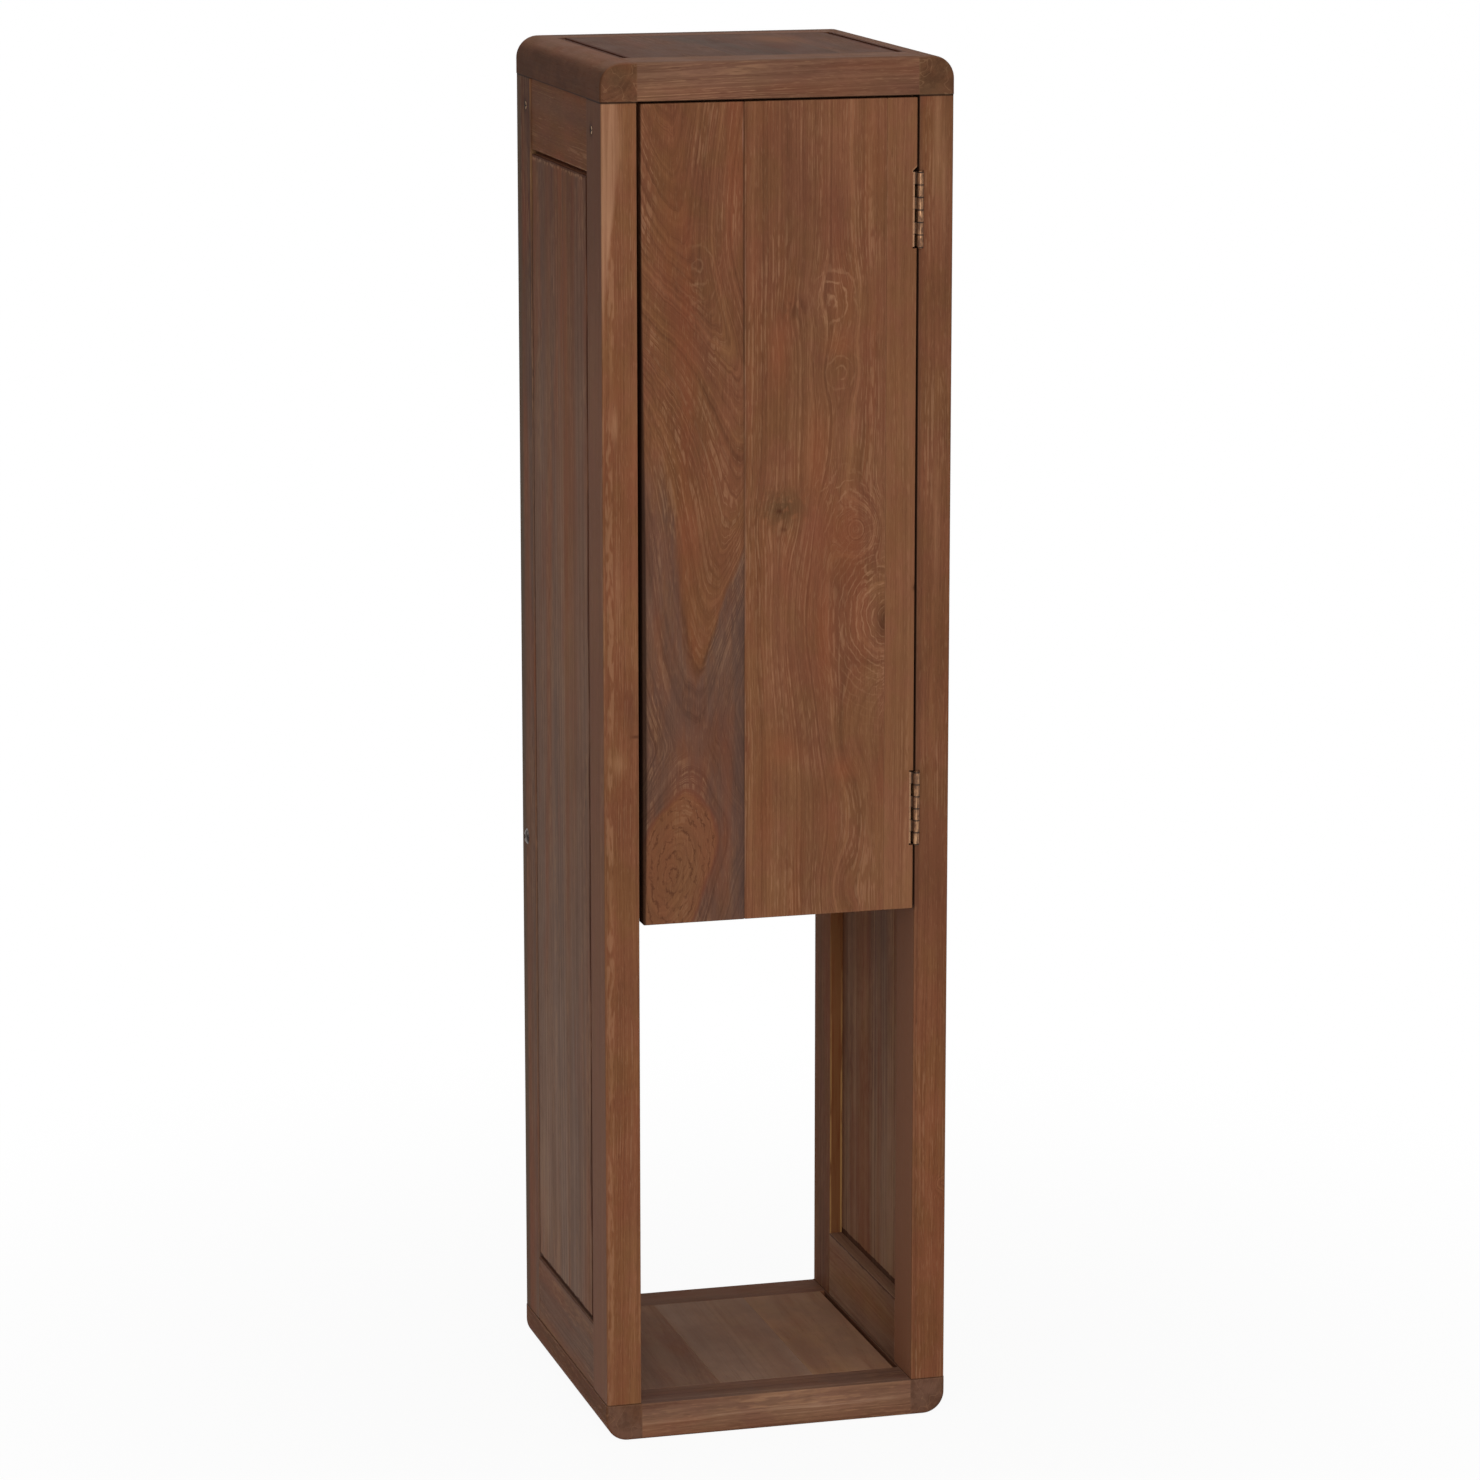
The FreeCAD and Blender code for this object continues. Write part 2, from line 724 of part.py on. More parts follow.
shelf_depth = (stop_plane + shelf_front_gap, back_panel_front - shelf_gap)
shelf_span = (shelf_level, shelf_level + shelf_thickness)
shelf = block(grown((-side_inner, side_inner), -shelf_gap), shelf_depth, shelf_span)
shelf = eased(shelf, rail_arris, *[{"y": shelf_depth[0], "z": level} for level in shelf_span])
save("inner_shelf", shelf)


# Magnetic catch under the front cross rail

catch = block(
    (catch_middle - catch_width / 2, catch_middle + catch_width / 2),
    (stop_plane, stop_plane + catch_depth),
    catch_span,
)
magnet_front = door_back + strike_thickness + strike_air
magnet_across = (catch_middle - magnet_width / 2, catch_middle + magnet_width / 2)
magnet_depth = (magnet_front, stop_plane + catch_depth - catch_wall)
magnet_span = grown(catch_span, -catch_wall)
pocket = block(
    grown(magnet_across, joint_clearance),
    (magnet_front, magnet_depth[1] + joint_clearance),
    grown(magnet_span, joint_clearance),
)
save("catch_housing", catch.cut([pocket] + catch_holes))
save("catch_magnet", block(magnet_across, magnet_depth, magnet_span))


# Fasteners and pins that come in left and right pairs

def floor_bolt():
    shank = rod(bolt_radius, bolt_place, -right, bolt_length)
    sphere_radius = (bolt_head_radius**2 + bolt_head_height**2) / (2 * bolt_head_height)
    centre = bolt_place - right * (sphere_radius - bolt_head_height)
    dome = Part.makeSphere(sphere_radius, centre)
    head_across = grown((bolt_place.y, bolt_place.y), bolt_head_radius)
    head_up = grown((bolt_place.z, bolt_place.z), bolt_head_radius)
    window = block((side_outer, side_outer + bolt_head_height + cut_overrun), head_across, head_up)
    socket_start = bolt_place + right * bolt_head_height
    socket = rod(bolt_socket_radius, socket_start, -right, bolt_socket_depth)
    return dome.common(window).fuse(shank).cut(socket)


rail_screws = [
    screw(place, -right, rail_screw_length, rail_screw_radius, rail_screw_head_radius)
    for place in rail_screw_places
]
slab_dowels = [dowel(place, up) for place in slab_dowel_places]
shelf_pins = [
    rod(shelf_pin_radius, place, right, shelf_pin_proud + shelf_pin_sunk) for place in shelf_pin_places
]
for name, shapes in (
    ("cross_rail_screws", rail_screws),
    ("floor_bolts", [floor_bolt()]),
    ("slab_dowels", slab_dowels),
    ("floor_dowels", [dowel(floor_dowel_place, right)]),
    ("shelf_pins", shelf_pins),
):
    save(name, *[copy for shape in shapes for copy in with_mirrored(shape)])
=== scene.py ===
import math
import bpy
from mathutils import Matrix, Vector


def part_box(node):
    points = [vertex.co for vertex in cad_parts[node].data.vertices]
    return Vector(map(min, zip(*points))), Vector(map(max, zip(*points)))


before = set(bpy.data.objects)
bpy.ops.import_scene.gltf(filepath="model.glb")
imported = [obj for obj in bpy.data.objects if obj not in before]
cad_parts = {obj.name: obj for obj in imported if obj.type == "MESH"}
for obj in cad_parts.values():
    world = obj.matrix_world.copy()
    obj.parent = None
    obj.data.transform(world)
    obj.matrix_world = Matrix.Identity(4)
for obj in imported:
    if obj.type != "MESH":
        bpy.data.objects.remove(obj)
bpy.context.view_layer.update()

# Lengths are in metres. Colours are written as the eye sees them, 0 to 255, and turned linear.

MM = 0.001

# Camera: a long lens a little to the left, looking slightly down
CAMERA_PLACE = Vector((-1.4204, -5.1642, 1.7858))
CAMERA_TURN = math.radians(15.48)
CAMERA_TILT = math.radians(11.81)
CAMERA_LENS = 132.6

# Stage
FLOOR_RADIUS = 40.0
FLOOR_SIDES = 64
FLOOR_COLOUR = (244, 243, 241)
SHADOW_NEAR = 0.25
SHADOW_REACH = 1.4
SHADOW_SHARE = 0.06
WORLD_STRENGTH = 0.336

# Sizes of the part that the frame's boxes don't give
SCREW_HEAD_RADIUS = 4 * MM
GROOVE_WIDTH = 5 * MM
PANEL_TONGUE = 8 * MM
FIELD_END_GAP = 4.6 * MM
FIELD_FRONT_GAP = 7.5 * MM
LEAF_THICKNESS = 2 * MM
NOTCH_RISE = 4 / 4.6
BARREL_RADIUS = 3.15 * MM
KNUCKLES = 6

# Wood colours, from dark to light, and what tints them
OLIVE = ((63, 38, 25), (95, 60, 39), (122, 79, 51), (148, 101, 66), (183, 138, 99))
ROSE = ((65, 37, 26), (98, 59, 41), (126, 78, 54), (151, 99, 69), (185, 137, 102))
COOL = ((52, 38, 33), (81, 60, 52), (105, 80, 69), (130, 103, 89), (166, 136, 118))
RED = (136, 74, 50)
CREAM = (188, 142, 106)
DARK_LINE = (58, 35, 25)
END_GRAIN = (82, 54, 40)
# A dark brown for dirt and joints, also used for painted shade by the hinges, in the door's gap and in
# screw holes
DARK_DIRT_AND_SHADE = (38, 25, 19)
# Dirt and painted shade in the panels' slots and grooves and along the bottom rails' lips
SLOT_DIRT_AND_SHADE = (66, 34, 23)
GROOVE_DIRT = (80, 44, 30)
ORANGE = (148, 84, 56)
UMBER = (96, 60, 44)
WHITE = (255, 255, 255)
RAMP_PLACES = (0.0, 0.25, 0.5, 0.75, 1.0)
WAX_SPECULAR = 0.02
POINT_SLOPE = 0.28


def linear(colour):
    """A colour of 0 to 255 as linear light with an alpha of 1."""
    parts = []
    for part in colour:
        share = part / 255
        parts.append(share / 12.92 if share <= 0.04045 else ((share + 0.055) / 1.055) ** 2.4)
    return (*parts, 1.0)


# Shader nodes by arithmetic

class Value:
    """A number that shader nodes work out; arithmetic on it adds nodes."""

    def __init__(self, graph, socket):
        self.graph = graph
        self.socket = socket

    def __add__(self, other):
        return self.graph.maths("ADD", self, other)

    __radd__ = __add__

    def __sub__(self, other):
        return self.graph.maths("SUBTRACT", self, other)

    def __rsub__(self, other):
        return self.graph.maths("SUBTRACT", other, self)

    def __mul__(self, other):
        return self.graph.maths("MULTIPLY", self, other)

    def __truediv__(self, other):
        return self.graph.maths("DIVIDE", self, other)

    def absolute(self):
        return self.graph.maths("ABSOLUTE", self)

    def least(self, other):
        return self.graph.maths("MINIMUM", self, other)

    def most(self, other):
        return self.graph.maths("MAXIMUM", self, other)

    def clamped(self):
        return self.least(1.0).most(0.0)

    def softly_least(self, other, blend):
        return self.graph.maths("SMOOTH_MIN", self, other, blend)

    def rise(self, start, end):
        """0 at start, 1 at end, with a smooth step between them; start may be the larger."""
        node = self.graph.add("MapRange")
        node.interpolation_type = "SMOOTHSTEP"
        low, high = (start, end) if start < end else (end, start)
        self.graph.feed(node.inputs["Value"], self)
        node.inputs["From Min"].default_value = low
        node.inputs["From Max"].default_value = high
        node.inputs["To Min"].default_value = 0.0 if start < end else 1.0
        node.inputs["To Max"].default_value = 1.0 if start < end else 0.0
        return Value(self.graph, node.outputs["Result"])


class Graph:
    """The shader nodes of a material or a world."""

    def __init__(self, owner, output):
        owner.use_nodes = True
        self.owner = owner
        self.tree = owner.node_tree
        self.tree.nodes.clear()
        self.surface_socket = self.add(output).inputs["Surface"]

    def add(self, kind):
        return self.tree.nodes.new("ShaderNode" + kind)

    def feed(self, socket, value):
        if isinstance(value, Value):
            self.tree.links.new(value.socket, socket)
        elif isinstance(value, bpy.types.NodeSocket):
            self.tree.links.new(value, socket)
        elif isinstance(value, tuple):
            socket.default_value = linear(value)
        else:
            socket.default_value = value

    def maths(self, operation, *values):
        node = self.add("Math")
        node.operation = operation
        for socket, value in zip(node.inputs, values):
            self.feed(socket, value)
        return Value(self, node.outputs[0])

    def root_of_squares(self, first, second):
        return self.maths("SQRT", first * first + second * second)

    def places(self):
        """The x, y and z of a point on the object."""
        node = self.add("SeparateXYZ")
        self.feed(node.inputs[0], self.add("TexCoord").outputs["Object"])
        return dict(zip("xyz", (Value(self, socket) for socket in node.outputs)))

    def joined(self, first, second, third):
        node = self.add("CombineXYZ")
        for socket, value in zip(node.inputs, (first, second, third)):
            self.feed(socket, value)
        return node.outputs[0]

    def scaled(self, vector, scales, offset):
        node = self.add("VectorMath")
        node.operation = "MULTIPLY_ADD"
        self.feed(node.inputs[0], vector)
        node.inputs[1].default_value = scales
        node.inputs[2].default_value = offset
        return node.outputs[0]

    def noise(self, place, detail, roughness, dimensions="3D"):
        """Noise in space, or in one dimension along a number."""
        node = self.add("TexNoise")
        node.noise_dimensions = dimensions
        self.feed(node.inputs["W" if dimensions == "1D" else "Vector"], place)
        node.inputs["Scale"].default_value = 1.0
        node.inputs["Detail"].default_value = detail
        node.inputs["Roughness"].default_value = roughness
        return Value(self, node.outputs["Fac"])

    def facing(self, axis):
        """How squarely a surface looks along an axis, either way."""
        node = self.add("SeparateXYZ")
        self.feed(node.inputs[0], self.add("NewGeometry").outputs["Normal"])
        return Value(self, node.outputs["xyz".index(axis)]).absolute()

    def ramp(self, value, colours):
        node = self.add("ValToRGB")
        self.feed(node.inputs[0], value)
        elements = node.color_ramp.elements
        while len(elements) < len(colours):
            elements.new(0.5)
        for element, place, colour in zip(elements, RAMP_PLACES, colours):
            element.position = place
            element.color = linear(colour)
        return node.outputs["Color"]

    def mix(self, share, first, second):
        """The first colour with a share of the second over it."""
        node = self.add("Mix")
        node.data_type = "RGBA"
        self.feed(node.inputs["Factor"], share)
        first_colour, second_colour, mixed = 6, 7, 2
        self.feed(node.inputs[first_colour], first)
        self.feed(node.inputs[second_colour], second)
        return node.outputs[mixed]

    def bump(self, height, depth, strength):
        node = self.add("Bump")
        node.inputs["Strength"].default_value = strength
        node.inputs["Distance"].default_value = depth
        self.feed(node.inputs["Height"], height)
        return node.outputs["Normal"]

    def surface(self, colour, roughness, normal=None, metallic=0.0, specular=0.5):
        """Gives the material one surface shader."""
        node = self.add("BsdfPrincipled")
        self.feed(node.inputs["Base Color"], colour)
        self.feed(node.inputs["Roughness"], roughness)
        node.inputs["Metallic"].default_value = metallic
        node.inputs["Specular IOR Level"].default_value = specular
        if normal is not None:
            self.feed(node.inputs["Normal"], normal)
        self.feed(self.surface_socket, node.outputs[0])


def new_material(name):
    return Graph(bpy.data.materials.new(name), "OutputMaterial")


# Wood

class Board:
    """A board's own places: across its face, along its grain and into its depth, from its middle."""

    def __init__(self, node, grain, face, seed):
        self.graph = new_material("wood_" + node)
        self.low, self.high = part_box(node)
        self.middle = (self.low + self.high) / 2
        self.places = self.graph.places()
        self.grain = grain
        across = ({"x", "y", "z"} - {grain, face}).pop()
        self.across = self.own(across)
        self.along = self.own(grain)
        self.depth = self.own(face)
        self.vector = self.graph.joined(self.across, self.along, self.depth)
        self.seed = seed

    def own(self, axis):
        return self.places[axis] - self.middle["xyz".index(axis)]

    def streaks(self, across_scale, along_scale, turn, detail=2.0, roughness=0.5):
        """Noise drawn out along the grain, with so many features in a metre; each turn is another noise."""
        seed = self.seed
        offset = (seed * 3.7 + turn * 11.3, seed * 5.1 + turn * 7.9, seed * 2.3 + turn * 4.1)
        scales = (across_scale, along_scale, across_scale)
        vector = self.graph.scaled(self.vector, scales, offset)
        return self.graph.noise(vector, detail, roughness)

    def rim(self):
        """How far a point lies from the nearest edge of the board's box."""
        gaps = []
        for axis, low, high in zip("xyz", self.low, self.high):
            place = self.places[axis]
            gaps.append((place - low).absolute().least((place - high).absolute()))
        first, second, third = gaps
        return first.least(second).most(first.most(second).least(third))

    def spot(self, first, second, wide, high, axes="xz"):
        """1 at a place on a face that lies along two axes, falling softly to 0 round it."""
        across = (self.places[axes[0]] - first) / wide
        up = (self.places[axes[1]] - second) / high
        return self.graph.maths("EXPONENT", (across * across + up * up) * -1.0)

    def patches(self, rows, over=1.0):
        """Soft patches: x and z, reach across and upwards, share and colour of each."""
        marks = []
        for x, z, wide, high, share, colour in rows:
            marks.append((self.spot(x, z, wide, high) * over * share, colour))
        return marks

    def parting(self, x, z, wide, high, amount):
        """Moves the grain lines apart round a place on a face that looks along Y."""
        return self.spot(x, z, wide, high) * (self.places["x"] - x) * -amount

    def ovals(self, x, z, slimness):
        """Distance from a place on a face that looks along Y, in ovals drawn out upwards."""
        up = (self.places["z"] - z) * slimness
        return self.graph.root_of_squares(self.places["x"] - x, up)

    def rounds(self, x, z, slimness, spacing, sway):
        """Thin lines in uneven ovals round a place on a face that looks along Y."""
        turn = self.graph.maths("FRACT", (self.ovals(x, z, slimness) + sway) / spacing)
        return (turn - 0.5).absolute().rise(0.17, 0.02)

    def point(self, aside, blunt, flank, tip):
        """Distance outside a point of grain that hangs down to its blunt tip; flank sets how slim it is."""
        fall = (self.places["z"] - tip) * POINT_SLOPE
        return (self.graph.root_of_squares(aside, blunt) - blunt) * flank - fall

    def looking(self, axis):
        """1 on faces that look along an axis, 0 on the others."""
        return self.graph.facing(axis).rise(0.55, 0.92)


def ring_distance(board, pith_across, pith_depth, lean):
    """Distance from the heart of the tree, whose line may lean across the board."""
    across = board.across - pith_across - board.along * lean
    return board.graph.root_of_squares(across, board.depth + pith_depth)


def wood(
    board, rings, tone, cool, red, contrast=1.0, line_scale=300.0,
    marks=(), figure_and_painted_light=None, bands=0.25, edge=0.12,
):
    """Stained and waxed brown wood, from each point's distance from the heart of the tree.

    tone and figure_and_painted_light set how light it is, partly with painted light and shade, cool and red
    how far it turns to grey and to red, and marks holds pairs of a share and a colour, laid over the grain.
    """
    graph = board.graph
    waver = (board.streaks(34, 3.0, 1) - 0.5) * (10 * MM)
    tremble = (board.streaks(260, 24, 2) - 0.5) * (2.0 * MM)
    rings = rings + waver + tremble
    start = board.seed * 17.3

    # Lines that follow the rings, and noise drawn out along the grain
    broad = graph.noise(rings * (line_scale * 0.26) + start, 2.0, 0.5, "1D")
    lines = graph.noise(rings * line_scale + start, 3.0, 0.62, "1D")
    crossing = graph.noise(rings * (line_scale * 0.75) + (start + 40), 1.0, 0.5, "1D")
    fibre = board.streaks(820, 20, 3, 3.0, 0.6)
    drift = board.streaks(24, 1.5, 5, 3.0, 0.55)
    blotch = board.streaks(19, 10, 6, 4.0, 0.62)
    fleck = board.streaks(900, 95, 4, 1.0)
    dash = board.streaks(300, 60, 13, 1.0)

    # How light the wood is, from 0 to 1
    level = 0.5 + tone
    for noise, share in ((broad, 0.28), (lines, 0.36), (fibre, 0.26), (drift, 0.30), (blotch, 0.36)):
        level = level + (noise - 0.5) * (share * contrast)
    if figure_and_painted_light is not None:
        level = level + figure_and_painted_light

    # Two warm browns in patches, with cooler bands and redder streaks
    banding = board.streaks(20, 0.8, 7, 1.6, 0.5) - 0.5
    coolness = (banding * (4.0 * bands) + cool).clamped()
    hue = board.streaks(30, 18, 14, 3.0, 0.6).rise(0.36, 0.64)
    warm = graph.mix(hue, graph.ramp(level, OLIVE), graph.ramp(level, ROSE))
    colour = graph.mix(coolness, warm, graph.ramp(level, COOL))
    reddening = (board.streaks(34, 5, 8, 2.0, 0.55) - banding * bands).rise(0.44, 0.72) * red
    colour = graph.mix(reddening, colour, RED)

    # Pale and dark lines here and there, pores and flecks
    here = board.streaks(30, 8, 9, 1.0).rise(0.40, 0.62)
    pale_line = (crossing - 0.5).absolute().rise(0.07, 0.01) * here * dash.rise(0.38, 0.58)
    colour = graph.mix(pale_line * (0.30 * contrast), colour, CREAM)
    elsewhere = board.streaks(28, 6, 10, 1.0).rise(0.44, 0.66)
    dark_line = (lines - 0.38).absolute().rise(0.04, 0.0) * elsewhere
    colour = graph.mix(dark_line * (0.26 * contrast), colour, DARK_LINE)
    pores = board.streaks(1400, 60, 11, 1.0).rise(0.62, 0.74)
    colour = graph.mix(pores * 0.22, colour, DARK_LINE)
    colour = graph.mix(fleck.rise(0.56, 0.76) * (0.14 * contrast), colour, CREAM)

    # Darker end grain, worn edges, and what lies over the wood
    colour = graph.mix(board.looking(board.grain) * 0.28, colour, END_GRAIN)
    ragged = board.streaks(160, 50, 12, 2.0, 0.6)
    worn = (board.rim() - ragged * (2.2 * MM)).rise(0.8 * MM, -0.8 * MM)
    colour = graph.mix(worn * edge, colour, CREAM)
    for share, mark in marks:
        colour = graph.mix(share, colour, mark)

    roughness = 0.64 + (fibre - 0.5) * 0.16 + pores * 0.10 - worn * 0.05
    height = lines * 0.4 + fibre * 0.5 - pores * 0.6
    graph.surface(colour, roughness, graph.bump(height, 0.14 * MM, 0.5), specular=WAX_SPECULAR)
    return graph.owner


def paint(node, material):
    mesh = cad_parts[node].data
    mesh.materials.clear()
    mesh.materials.append(material)


# Metals and plastic

def metal(name, colour, tarnish, shine, spotted):
    """Metal that is clouded and gritty with tarnish."""
    graph = new_material(name)
    vector = graph.add("TexCoord").outputs["Object"]
    cloud = graph.noise(graph.scaled(vector, (160, 160, 90), (3.1, 4.2, 5.3)), 4.0, 0.65)
    grit = graph.noise(graph.scaled(vector, (1400, 1400, 900), (1.7, 2.9, 0.4)), 2.0, 0.5)
    dulled = (cloud * 0.75 + grit * 0.25).rise(0.42, 0.66)
    tint = graph.mix(dulled * spotted, colour, tarnish)
    roughness = shine + dulled * 0.22 + (grit - 0.5) * 0.10
    graph.surface(tint, roughness, graph.bump(grit * 0.6 + cloud * 0.4, 0.05 * MM, 0.4), metallic=1.0)
    return graph.owner


def hinge_brass(place):
    """Aged brass with dark lines between the knuckles, painted shade where the leaves meet the barrel, and
    painted highlights.
    """
    graph = new_material(place + "_hinge_brass")
    bright, tarnish, scratch_and_glint = (136, 95, 65), (78, 50, 34), (206, 160, 118)
    leaf_edge_highlight, slot_side_light = (178, 132, 98), (206, 156, 116)
    places = graph.places()
    x, z = places["x"], places["z"]
    vector = graph.add("TexCoord").outputs["Object"]
    streak = graph.noise(graph.scaled(vector, (1500, 1500, 60), (2.2, 0.7, 1.9)), 2.0, 0.5)
    cloud = graph.noise(graph.scaled(vector, (240, 240, 160), (3.1, 4.2, 5.3)), 4.0, 0.65)
    tint = graph.mix(cloud.rise(0.40, 0.60) * 0.75, bright, tarnish)
    # Pale upright streaks: scratches, and painted highlights along the barrel
    tint = graph.mix(streak.rise(0.52, 0.64) * 0.60, tint, scratch_and_glint)

    # Lines between the knuckles
    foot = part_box(place + "_hinge_frame_leaf")[0].z
    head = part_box(place + "_hinge_door_leaf")[1].z
    turn = graph.maths("FRACT", (z - foot) / ((head - foot) / KNUCKLES))
    line = (turn - 0.5).absolute().rise(0.42, 0.465)
    tint = graph.mix(line * 0.85, tint, DARK_DIRT_AND_SHADE)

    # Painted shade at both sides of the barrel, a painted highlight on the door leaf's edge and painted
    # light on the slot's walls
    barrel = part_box(place + "_hinge_pin")
    beside = (barrel[0].x + barrel[1].x) / 2 - x
    past_leaf = x - (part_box(place + "_hinge_door_leaf")[0].x + LEAF_THICKNESS)
    crease = beside.rise(BARREL_RADIUS - 0.6 * MM, BARREL_RADIUS) * past_leaf.rise(0.0, 0.3 * MM)
    tint = graph.mix(crease * 0.60, tint, DARK_DIRT_AND_SHADE)
    tint = graph.mix(past_leaf.rise(0.1 * MM, -0.2 * MM) * 0.60, tint, leaf_edge_highlight)
    tint = graph.mix(beside.rise(-2.2 * MM, -2.9 * MM) * 0.70, tint, DARK_DIRT_AND_SHADE)
    slot_wall = graph.facing("x").rise(0.6, 0.9) * beside.absolute().rise(1.4 * MM, 0.8 * MM)
    tint = graph.mix(slot_wall * 0.85, tint, slot_side_light)
    roughness = 0.40 + cloud.rise(0.36, 0.62) * 0.20 - streak * 0.08
    graph.surface(tint, roughness, graph.bump(cloud + line * -1.0, 0.10 * MM, 0.5), metallic=0.55)
    return graph.owner


def screw_brass():
    """Brass screws in the outer sides: painted shade in a recess and a painted highlight on the rim towards
    the front.
    """
    graph = new_material("screw_brass")
    tint, recess, glint = (58, 38, 28), (26, 17, 13), (236, 192, 150)
    low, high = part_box("cross_rail_screws")
    places = graph.places()
    level = (low.z + high.z) / 2
    for y in (low.y + SCREW_HEAD_RADIUS, high.y - SCREW_HEAD_RADIUS):
        aside = places["y"] - y
        near = aside.absolute().rise(2 * SCREW_HEAD_RADIUS, SCREW_HEAD_RADIUS)
        radius = graph.root_of_squares(aside, places["z"] - level)
        # Painted shade in the recess at the middle of each head and a painted highlight on its rim
        tint = graph.mix(radius.rise(2.2 * MM, 1.4 * MM), tint, recess)
        rim = radius.rise(1.8 * MM, 2.6 * MM) * aside.rise(0.8 * MM, -1.2 * MM) * near
        tint = graph.mix(rim * 0.9, tint, glint)
    graph.surface(tint, 0.5, specular=WAX_SPECULAR)
    return graph.owner


def plastic(name, colour):
    """Dull plastic with a fine, paler speckle."""
    graph = new_material(name)
    vector = graph.add("TexCoord").outputs["Object"]
    grain = graph.noise(graph.scaled(vector, (1800, 1800, 1800), (0.3, 0.6, 0.9)), 2.0, 0.5)
    paler = tuple(part * 1.5 for part in colour)
    tint = graph.mix(grain.rise(0.35, 0.75) * 0.25, colour, paler)
    graph.surface(tint, 0.45 + grain * 0.12, graph.bump(grain, 0.03 * MM, 0.4), specular=0.4)
    return graph.owner


# Dark joints and dirt, with painted light and shade at screw holes, grooves and edges

def seams(board):
    """Dark lines where the sides meet the slabs above and below."""
    z = board.places["z"]
    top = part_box("top_front_rail")[0].z
    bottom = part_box("bottom_front_rail")[1].z
    return (
        ((top - z).rise(2.0 * MM, 0.8 * MM) * 0.90, DARK_DIRT_AND_SHADE),
        ((z - bottom).rise(1.6 * MM, 0.4 * MM) * 0.70, DARK_DIRT_AND_SHADE),
    )


def top_patches(board):
    """A smoky band that slants over the top panel, and a warmer patch at its right."""
    slant = (board.places["x"] + 10 * MM + board.places["y"] * 0.25) / (22 * MM)
    patchy = board.streaks(70, 12, 31, 3.0, 0.6).rise(0.30, 0.62)
    return (
        ((slant * slant).rise(1.0, 0.0) * patchy * 0.55, (88, 76, 66)),
        (board.spot(0.062, 0.060, 26 * MM, 52 * MM, "xy") * 0.50, (150, 100, 68)),
    )


def slab_shades(node, board):
    """Painted light that greys the faces looking up, a dark joint under the top, and darker or paler edges.
    """
    y, z = board.places["y"], board.places["z"]
    cloud = board.streaks(26, 16, 28, 3.0, 0.6).rise(0.36, 0.64)
    # Faces looking up are painted paler and greyer: painted light from above
    grey = (116, 92, 82) if node.startswith(("top_panel", "bottom_front")) else (136, 106, 90)
    marks = [(board.looking("z") * (0.18 + cloud * 0.30), grey)]
    if node.startswith("top_") and node.endswith("_rail"):
        marks.append(((z - board.low.z).rise(1.2 * MM, 0.3 * MM) * 0.80, DARK_DIRT_AND_SHADE))
    if node.startswith("top_panel"):
        marks += top_patches(board)
    if node == "top_back_rail":
        rim = (board.high.y - y).rise(22 * MM, 12 * MM) * (1.0 - board.looking("y"))
        marks.append((rim * 0.60, (76, 62, 55)))
        marks.append(((y - board.low.y).rise(2.5 * MM, 1.5 * MM) * 0.60, GROOVE_DIRT))
    if node == "top_left_rail":
        marks.append((board.looking("x") * (0.60 + cloud * 0.25), (70, 43, 29)))
    if node in ("bottom_left_rail", "bottom_right_rail"):
        marks.append((board.looking("y") * (0.20 + cloud * 0.45), (124, 92, 76)))
    if node in ("top_left_rail", "top_right_rail"):
        marks.append((board.looking("y") * cloud * 0.40, (98, 76, 54)))
    if node.endswith(("left_rail", "right_rail")):
        marks += stained_ends(board)
    return marks


def stained_ends(board):
    """Dark blotches and thin pale cracks on the end grain of a slab's side rails."""
    end = board.looking("y")
    blotch = board.streaks(70, 70, 33, 4.0, 0.65).rise(0.44, 0.68)
    crack = (board.streaks(40, 40, 34, 2.0, 0.5) - 0.5).absolute().rise(0.009, 0.001)
    return (
        (end * blotch * 0.38, (64, 41, 30)),
        (end * crack * 0.16, CREAM),
    )


def lit_edge(board):
    """Deep orange wood on the right rear stile's edge beside the panel, with painted highlights on its
    arrises.
    """
    x, y, z = board.places["x"], board.places["y"], board.places["z"]
    edge = (y - board.low.y).rise(2.0 * MM, 0.5 * MM) * board.looking("y")
    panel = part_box("right_panel_rear_board")[0].x
    inner_arris = (x - board.low.x).rise(2.2 * MM, 1.2 * MM)
    arris = inner_arris.most((x - panel).absolute().rise(2.4 * MM, 1.4 * MM))
    broken = board.streaks(300, 22, 35, 3.0, 0.6).rise(0.34, 0.52)
    # Golden painted highlights on the arrises, broken and only low down
    return (
        (edge * 0.55, (112, 62, 28)),
        (edge * arris * broken * z.rise(0.48, 0.20) * 0.60, (206, 160, 100)),
    )


def screw_hole_shade(board):
    """Painted shade of the holes round the heads of the cross rails' screws, on the outer sides."""
    low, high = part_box("cross_rail_screws")
    level = (low.z + high.z) / 2
    ring = 6.5 * MM
    marks = []
    for y in (low.y + SCREW_HEAD_RADIUS, high.y - SCREW_HEAD_RADIUS):
        # Painted shade of a hole round each screw head
        marks.append((board.spot(y, level, ring, ring, "yz") * 0.85, DARK_DIRT_AND_SHADE))
    return marks


